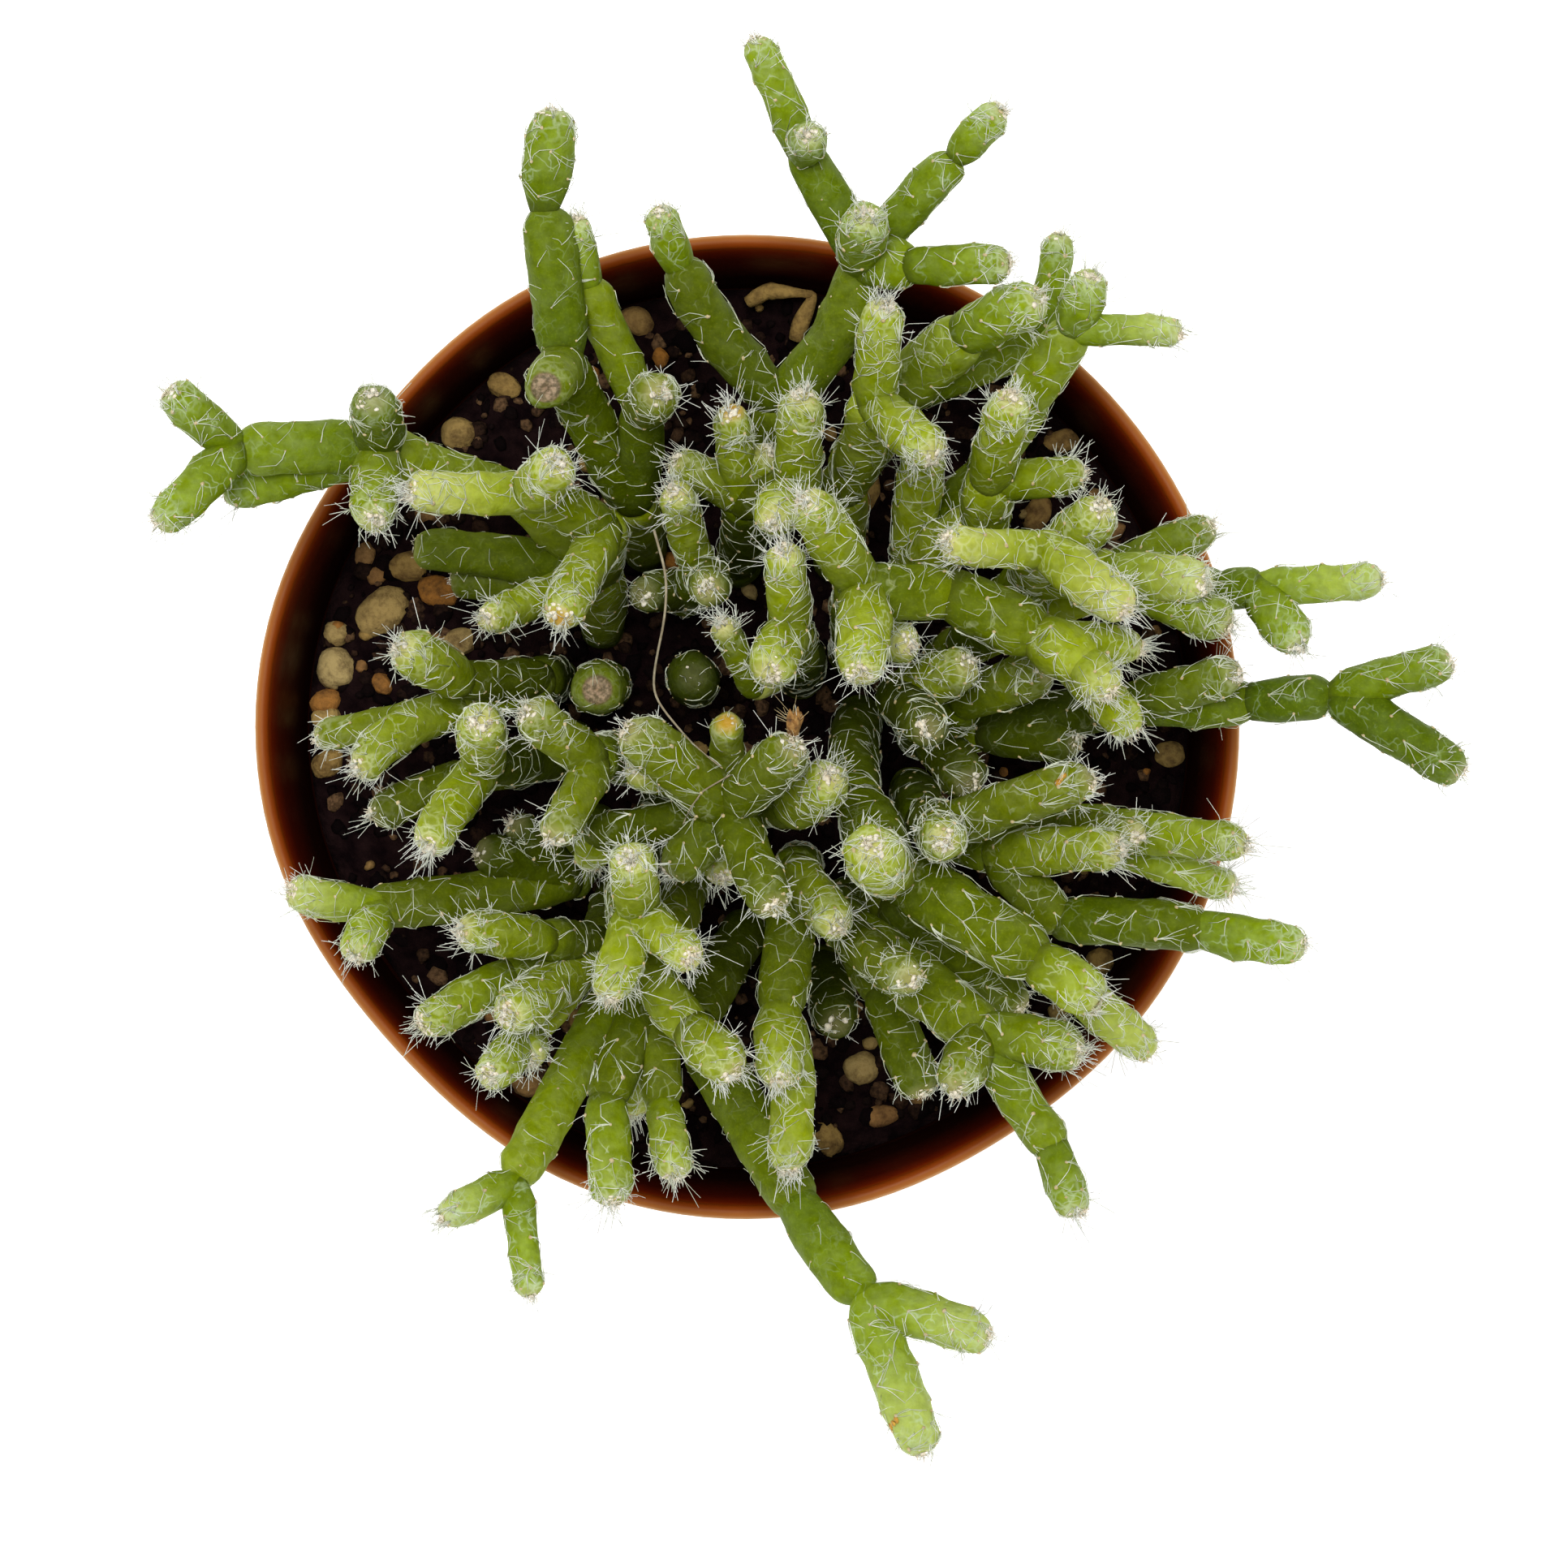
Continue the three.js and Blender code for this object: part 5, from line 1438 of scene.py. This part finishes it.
withered = speckled(
    "withered_bud", 0.85, 0.5,
    (0.3, (0.08, 0.035, 0.01)), (0.5, (0.3, 0.14, 0.03)), (0.75, (0.5, 0.3, 0.09)),
)
withered.bump(withered.noise(0.2), 0.1)
root, _ = touched(*BUD_ROOT)
fan = unit(BUD_AHEAD + luck.normal(0, 0.22, (BUD_SCALES, 3)))
size = luck.uniform(*SCALE_LENGTH, BUD_SCALES)
middles = root - (0, 0, BUD_SUNK) + 1.1 * fan * size[:, None]
scales = lay_blobs(dot_points * SCALE_SHAPE, dot_faces, middles, fan, size, 0.1)
ahead = unit(BUD_AHEAD + luck.normal(0, 0.7, (BUD_HAIRS, 3)))
roots = np.tile(root, (BUD_HAIRS, 1)) + luck.uniform(0.3, 2, (BUD_HAIRS, 1)) * BUD_AHEAD
lines = bent_lines(roots, ahead, luck.uniform(*BUD_HAIR_LENGTH, BUD_HAIRS), TUFT_HAIR, 0.5)
add_piece(piece_of("withered_bud", scales, withered), "cactus_stem")
add_piece(piece_of("bud_hairs", lay_hairs(lines, WOOL_RADIUS), wool_tan), "cactus_hair")
print("root of the bud:", root.round(1))

# %% Healed rusty spots
RUSTY = ((27, -4.5), (12.6, -60))
CLOSE_BY = ((0, 0), (0.25, 0.3), (-0.2, -0.3))  # each spot is three blobs
SPOT_SIZE = 0.34
SPOT_SHAPE = (1, 1, 0.3)

rust = speckled("rust_spot", 0.7, 0.35, (0.35, (0.42, 0.18, 0.012)), (0.65, (0.7, 0.4, 0.04)))
seats = [touched(u + du, v + dv) for u, v in RUSTY for du, dv in CLOSE_BY]
places, outward = (np.array(each) for each in zip(*seats))
size = np.full(len(places), SPOT_SIZE)
spots = lay_blobs(dot_points * SPOT_SHAPE, dot_faces, places, outward, size, 0.1)
add_piece(piece_of("rusty_spots", spots, rust), "cactus_stem")
print("spots:", len(places))

# %% [markdown]
# ## The pot
#
# A nursery pot is moulded in one thin wall of red-brown plastic. It widens upwards, and
# a stiffer band round the mouth stands out from the wall. From above mostly its lip is
# seen, where light comes through the thin edge and makes it glow orange. The pot is
# drawn ring by ring: out over the base, up the wall, round the lip and down the inside.

# %% Stations of the pot
POT_SIDES = 144
RIM_RADIUS = 42.5
BASE_RADIUS = 29
WALL = 1.2
FLOOR_THICKNESS = 1.6
BAND_HEIGHT = 14
BAND_STEP = 1.3
BAND_TAPER = 2.0
BAND_FOOT = POT_HEIGHT - BAND_HEIGHT
BAND_FOOT_RADIUS = RIM_RADIUS - BAND_TAPER
WALL_TOP_RADIUS = BAND_FOOT_RADIUS - BAND_STEP
STEP_FOOT = BAND_FOOT - BAND_STEP
LIP_RADIUS = 0.6
LIP_STEPS = 7
WALL_RINGS = (16, 32, 48)
BAND_RINGS = (68, 74, 74.8)
INNER_RINGS = (74, 72, 70, 68, 66, 64)


def wall_radius(z):
    return BASE_RADIUS + (WALL_TOP_RADIUS - BASE_RADIUS) * z / BAND_FOOT


FLOOR_RADIUS = wall_radius(2) - WALL

outside = [(0, BASE_RADIUS - 0.8), (0.23, BASE_RADIUS - 0.25), (0.8, wall_radius(0.8))]
outside += [(z, wall_radius(z)) for z in WALL_RINGS]
outside += [(STEP_FOOT, wall_radius(STEP_FOOT)), (BAND_FOOT - 0.7, WALL_TOP_RADIUS + 0.15)]
outside += [(BAND_FOOT - 0.15, BAND_FOOT_RADIUS - 0.25), (BAND_FOOT + 0.2, BAND_FOOT_RADIUS)]
outside += [(z, BAND_FOOT_RADIUS + BAND_TAPER * (z - BAND_FOOT) / BAND_HEIGHT) for z in BAND_RINGS]
lip = []
for step in range(LIP_STEPS + 1):
    turn = math.pi * step / LIP_STEPS
    reach = RIM_RADIUS - LIP_RADIUS + LIP_RADIUS * math.cos(turn)
    lip.append((POT_HEIGHT - LIP_RADIUS + LIP_RADIUS * math.sin(turn), reach))
inside = [(z, RIM_RADIUS - WALL - BAND_TAPER * (POT_HEIGHT - z) / BAND_HEIGHT) for z in INNER_RINGS]
inside += [(BAND_FOOT, BAND_FOOT_RADIUS - WALL), (STEP_FOOT, WALL_TOP_RADIUS - WALL)]
inside += [(FLOOR_THICKNESS + 0.6, FLOOR_RADIUS), (FLOOR_THICKNESS, FLOOR_RADIUS - 0.7)]
print("rings of the pot:", len(outside) + len(lip) + len(inside))

# %% The mouth is squeezed a little flat in three places
MOUTH_FLATS = ((222, 1.4, 22), (143, 1.0, 19), (303, 0.7, 19))  # bearing, depth, half width


def mouth_flat(points):
    """How far each point is pushed in; the round base isn't squeezed at all."""
    bearing = np.degrees(np.arctan2(points[:, 1], points[:, 0]))
    depth = np.zeros(len(points))
    for at, most, half_width in MOUTH_FLATS:
        away = np.abs((bearing - at + 540) % 360 - 180)
        depth += most * np.exp(-((away / half_width) ** 2))
    return depth * np.clip(points[:, 2] / POT_HEIGHT, 0, 1) ** 2


def squeezed(points):
    """Pushes the wall in, but not the middle of the floor."""
    radius = np.hypot(points[:, 0], points[:, 1])
    wide = radius > BASE_RADIUS - 6
    scale = np.where(wide, 1 - mouth_flat(points) / np.maximum(radius, 1), 1)
    return points * np.column_stack([scale, scale, np.ones(len(points))])


# %% Build the pot, and cut its drain holes
DRAIN_HOLES = 6
DRAIN_RADIUS = 3
DRAIN_RING_RADIUS = 20
SHARPEST_SMOOTH = math.radians(35)
DRILL = {"vertices": 32, "radius": DRAIN_RADIUS * MM, "depth": 0.01}

pot = extruded("nursery_pot", POT_SIDES, outside + lip + inside)
move_points(pot, squeezed(read_points(pot)))
drills = []
for i in range(DRAIN_HOLES):
    turn = 2 * math.pi * i / DRAIN_HOLES
    place = (DRAIN_RING_RADIUS * math.cos(turn) * MM, DRAIN_RING_RADIUS * math.sin(turn) * MM, 0)
    bpy.ops.mesh.primitive_cylinder_add(location=place, **DRILL)
    drills.append(bpy.context.object)
bpy.ops.object.select_all(action="DESELECT")
for drill in drills:
    drill.select_set(True)
bpy.context.view_layer.objects.active = drills[0]
bpy.ops.object.join()
drill = bpy.context.object
cut = pot.modifiers.new("drain_holes", "BOOLEAN")
cut.operation = "DIFFERENCE"
cut.solver = "EXACT"
cut.object = drill
bpy.ops.object.select_all(action="DESELECT")
pot.select_set(True)
bpy.context.view_layer.objects.active = pot
bpy.ops.object.modifier_apply(modifier="drain_holes")
bpy.data.objects.remove(drill)
bpy.ops.object.shade_smooth_by_angle(angle=SHARPEST_SMOOTH)
print("pot faces:", len(pot.data.polygons))

# %% [markdown]
# ## The plastic
#
# The colour of the plastic changes along its section: pale orange on the outer edge of
# the lip, a painted glow where light comes through, then orange-brown, then a deep
# red-brown down the inside, darkened by painted shade. Each point keeps how far in it
# lies from that edge, and a colour ramp reads it. The outside is a plain red-brown, with
# fine scuffs and the faint grain of the mould.

# %% Red-brown plastic
LIP_GLOW_REACH = 12  # millimetres of section from the lip's edge to the darkest inside

points = read_points(pot) / MM
radius = np.hypot(points[:, 0], points[:, 1])
facing = np.array([vertex.normal for vertex in pot.data.vertices])
facing_out = (facing[:, :2] * points[:, :2]).sum(1) / np.maximum(radius, 1)
down = POT_HEIGHT - points[:, 2]
on_lip = down < LIP_RADIUS + 0.02
inner = (facing_out < 0) | ((facing[:, 2] > 0.5) & (down > 2))
rim_at = RIM_RADIUS - mouth_flat(points)
inward = np.where(inner | on_lip, rim_at - radius + np.where(on_lip, 0, down), 0)
keep_number(pot.data, "inward", np.clip(inward / LIP_GLOW_REACH, 0, 1))
keep_number(pot.data, "outer", ~inner & ~on_lip)

plastic = Finish("red_brown_plastic", 0.45, gloss=0.07)
# Painted glow at the edge of the lip, and painted shade down the inside.
section = plastic.by(
    "inward",
    (0.0, (0.56, 0.32, 0.13)),
    (0.025, (0.38, 0.13, 0.03)),
    (0.07, (0.23, 0.045, 0.005)),
    (0.1, (0.22, 0.035, 0.002)),
    (0.125, (0.3, 0.036, 0.001)),
    (0.2, (0.2, 0.016, 0.001)),
    (0.45, (0.08, 0.006, 0.001)),
    (1.0, (0.014, 0.002, 0.001)),
)
outside_brown = plastic.speckle(9, (0.3, (0.12, 0.034, 0.012)), (0.7, (0.155, 0.047, 0.018)))
scuffs = plastic.speckle(1.2, (0.6, 0), (0.8, 0.18), detail=6, roughness=0.7)
outside_brown = plastic.mix(scuffs, outside_brown, (0.25, 0.11, 0.06))
plastic.coat(plastic.mix(plastic.read("outer"), section, outside_brown))
wear = plastic.speckle(2.5, (0.3, 0.38), (0.75, 0.55), detail=4)
plastic.plug(wear, plastic.shader.inputs["Roughness"])
plastic.bump(plastic.noise(0.5), 0.02)
pot.data.materials.append(plastic.material)
add_piece(pot, "pot_plastic", "pot")
print("pot triangles:", triangles_made[pot.name])

# %% [markdown]
# ## Potting soil
#
# The soil is dark peat with grains of tan clay and pumice on it. Its bed fills the pot
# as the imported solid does. It is drawn as rings from the pot's wall to the middle, and
# its top is lifted by noise. Crumbs and grains are then scattered over it, each one a
# misshapen copy of a small blob.

# %% The bed of soil
SOIL_SIDES = 160
SOIL_RINGS = 44
SOIL_RADIUS = 39.0
SOIL_EDGE_DROP = 2.5
SOIL_LUMPS = 0.7
FIT_GAP = 0.3


def soil_height(x, y):
    swell = 0.4 * np.sin(0.15 * x + 1.1) * np.cos(0.13 * y) + 0.2 * np.sin(0.2 * x - 0.23 * y)
    return SOIL_TOP + swell - SOIL_EDGE_DROP * smoothstep(np.hypot(x, y), 26, 41)


side = [(FLOOR_THICKNESS + FIT_GAP, FLOOR_RADIUS - 1.0)]
side += [(BAND_FOOT - 2, WALL_TOP_RADIUS - WALL - 0.4)]
top = [(SOIL_TOP, SOIL_RADIUS * (1 - i / SOIL_RINGS)) for i in range(SOIL_RINGS)]
bed = extruded("soil_bed", SOIL_SIDES, side + top)
points = squeezed(read_points(bed))
on_top = points[:, 2] > BAND_FOOT
lumps = np.array([noise.fractal(Vector(p) * 0.45, 1.0, 2.0, 4) for p in points])
points[on_top, 2] = (soil_height(points[:, 0], points[:, 1]) + SOIL_LUMPS * lumps)[on_top]
move_points(bed, points)
bpy.ops.object.shade_smooth()
print("lowest and highest soil:", points[on_top, 2].min().round(2), points[on_top, 2].max().round(2))

# %% Large grains and a bit of root
# Grains that show: u, v, half length, half width, turn in degrees, and tone, which goes
# from orange at 0 through brown and ochre to pale at 1.
GRAINS = (
    (-31.5, 10, 2.6, 1.9, 40, 0.75),
    (-29.2, 13.9, 1.8, 1.4, 0, 0.6),
    (-26.6, 11.6, 1.9, 1.4, 160, 0.05),
    (-36.6, 5.2, 1.9, 1.7, 95, 0.9),
    (-36.7, 8.4, 1.2, 1.1, 0, 0.8),
    (-38.2, 2.3, 1.5, 1.1, 30, 0.1),
    (-36.4, 0.9, 1.3, 1.1, 0, 0.7),
    (-37.2, -3.2, 1.6, 1.2, 30, 0.6),
    (-33.4, 15.1, 1.2, 0.9, 80, 0.35),
    (-32, 13.2, 1.0, 0.8, 30, 0.3),
    (-24.7, 7.4, 1.6, 1.2, 0, 0.8),
    (-27.5, 18.6, 1.3, 1, 20, 0.35),
    (-25.2, 25.7, 1.7, 1.5, 0, 0.7),
    (-22.6, 31.8, 1.6, 1.1, 160, 0.6),
    (-9.6, 35.6, 1.6, 1.2, 150, 0.5),
    (9.9, -29.4, 1.6, 1.5, 0, 0.8),
    (7, -35.6, 1.7, 1.2, 120, 0.6),
    (11.6, -33.6, 1.6, 1, 10, 0.3),
    (36.9, -2.3, 1.4, 1.2, 0, 0.7),
    (-19.8, -32.4, 1.6, 1.2, 20, 0.4),
    (33.6, -22.5, 1.5, 1.2, 40, 0.6),
    (28.5, 26, 1.6, 1.1, 15, 0.5),
    (10.2, 20.4, 2.2, 1.3, 80, 0.6),
    (25, 18.4, 1.7, 1.2, 60, 0.5),
)

# A crooked bit of old root that lies by the wall: u, v and z of its middle line.
TWIG = (
    (0.1, 36.6, 66), (1.7, 37.6, 66.8), (3.8, 38.2, 67.2), (5.3, 38.3, 67.3),
    (5.9, 37.4, 67.2), (5.3, 36.2, 67), (4.6, 34.8, 66.6), (4.2, 33.4, 66),
)
TWIG_RADIUS = 0.75
TWIG_TONE = 0.62
print("large grains:", len(GRAINS))

# %% Lay crumbs and grains
UP = np.array([0.0, 0.0, 1.0])
GRAIN_BUMPS = 0.16
GRAIN_HEIGHT = 0.85  # of its width
GRAIN_RISE = 0.1


def inner_limit(bearing):
    """How far from the pot's axis something on the soil may reach."""
    probe = np.column_stack([np.cos(bearing), np.sin(bearing), np.full(len(bearing), SOIL_TOP)])
    return SOIL_RADIUS - FIT_GAP - mouth_flat(probe)


def scattered(master, faces, many, sizes, power, lift, rough):
    """Small copies of a blob all over the soil, each with a tone of its own."""
    size = luck.uniform(*sizes, many) ** power
    bearing = luck.uniform(0, 2 * math.pi, many)
    away = np.sqrt(luck.uniform(0, 1, many)) * (inner_limit(bearing) - size)
    x, y = away * np.cos(bearing), away * np.sin(bearing)
    places = np.column_stack([x, y, soil_height(x, y)]) + UP * lift
    points, faces = lay_blobs(master, faces, places, np.tile(UP, (many, 1)), size, rough)
    return points, faces, {"tone": np.repeat(luck.uniform(0, 1, many), len(master))}


def lay_grain(u, v, half_length, half_width, turn, tone):
    """A large grain at its place, half sunk in the soil and clear of the pot's wall."""
    x, y, _ = seen(u, v, SOIL_TOP)
    bearing = math.atan2(y, x)
    away = min(math.hypot(x, y), inner_limit(np.array([bearing]))[0] - half_width)
    x, y = away * math.cos(bearing), away * math.sin(bearing)
    own = Vector((u, v, 0))
    bumps = np.array([noise.fractal(Vector(p) * 1.3 + own, 1.0, 2.0, 3) for p in grain_points])
    shape = grain_points * (1 + GRAIN_BUMPS * bumps[:, None])
    shape = shape * (half_length, half_width, GRAIN_HEIGHT * half_width)
    c, s = math.cos(math.radians(turn)), math.sin(math.radians(turn))
    along, across, high = shape.T
    turned = np.column_stack([c * along - s * across, s * along + c * across, high])
    placed = turned + (x, y, soil_height(x, y) + GRAIN_RISE)
    return placed, grain_faces, {"tone": np.full(len(shape), tone)}


# %% Build crumbs and grains
CRUMBS, CRUMB_SIZES, CRUMB_HEIGHT = 2600, (0.3, 1.0), 1.3
SMALL_GRAINS, SMALL_SIZES = 70, (0.45, 1.0)
WALL_CLEARANCE = 0.4

crumb_shape = dot_points * (1, 1, CRUMB_HEIGHT)
crumbs = scattered(crumb_shape, dot_faces, CRUMBS, CRUMB_SIZES, power=1.3, lift=0.15, rough=0.16)
crumbs = piece_of("soil_crumbs", crumbs)
add_piece(bed, "potting_soil", "soil")

grain_points, grain_faces = blob_master("grain_master", 3, 1)
small_points, small_faces = blob_master("small_grain_master", 2, 1)
laid = [lay_grain(*row) for row in GRAINS]
line = np.array([seen(*row) for row in smooth_way(TWIG, 24, 3)])
far = np.hypot(line[:, 0], line[:, 1])
line[:, :2] *= np.minimum(1, (SOIL_RADIUS - WALL_CLEARANCE) / far)[:, None]
knots = 0.35 * np.sin(np.linspace(0, 9, len(line))) * luck.uniform(0.6, 1, len(line))
points, faces = lay_tube(line, TWIG_RADIUS * (0.75 + knots), 9)
laid.append((points, faces, {"tone": np.full(len(points), TWIG_TONE)}))
laid.append(scattered(
    small_points, small_faces, SMALL_GRAINS, SMALL_SIZES, power=1, lift=0.25, rough=0.07
))
grains = piece_of("soil_grains", join_laid(laid))
add_piece(crumbs, "potting_soil")
add_piece(grains, "soil_grains")
print("soil triangles:", [triangles_made[n] for n in ("soil_bed", "soil_crumbs", "soil_grains")])

# %% [markdown]
# ## Finishes of the soil
#
# Damp peat is nearly black. Its crumbs run from black to dark brown, and a few are paler
# where they have dried. The grains are fired clay and pumice: tan to ochre, dull, and
# pitted, with darker dirt in their hollows.

# %% Peat and grains
BLACK_PEAT = (0.003, 0.001, 0.0015)

peat = speckled(
    "damp_peat", 0.95, 1.5, (0.35, BLACK_PEAT), (0.7, (0.014, 0.006, 0.006)), gloss=0.04, detail=5
)
peat.bump(peat.noise(0.6, detail=5), 0.35)
bed.data.materials.append(peat.material)

crumb = Finish("peat_crumb", 0.95, gloss=0.04)
tones = (0.0, BLACK_PEAT), (0.5, (0.008, 0.004, 0.004)), (0.8, (0.04, 0.02, 0.012))
crumb.coat(crumb.by("tone", *tones, (1.0, (0.18, 0.1, 0.048))))
crumb.layer(crumb.speckle(0.4, (0.4, 0), (0.65, 0.7)), (0.003, 0.002, 0.002))
crumb.bump(crumb.noise(0.25), 0.15)
crumbs.data.materials.append(crumb.material)

clay = Finish("grain_clay", 0.85, gloss=0.15)
tones = (0.0, (0.4, 0.16, 0.025)), (0.35, (0.26, 0.14, 0.05)), (0.65, (0.36, 0.23, 0.065))
clay.coat(clay.by("tone", *tones, (1.0, (0.46, 0.35, 0.15))))
dirt = clay.speckle(1.4, (0.42, 0), (0.68, 0.85), detail=6, roughness=0.7)
clay.layer(dirt, (0.06, 0.028, 0.01))
clay.bump(clay.noise(0.35, detail=4), 0.2)
grains.data.materials.append(clay.material)
print("finishes of the soil:", [each.material.name for each in (peat, crumb, clay)])

# %% Write the sizes and finish
print("triangles in all:", sum(triangles_made.values()))
print("largest piece:", max(triangles_made.items(), key=lambda each: each[1]))
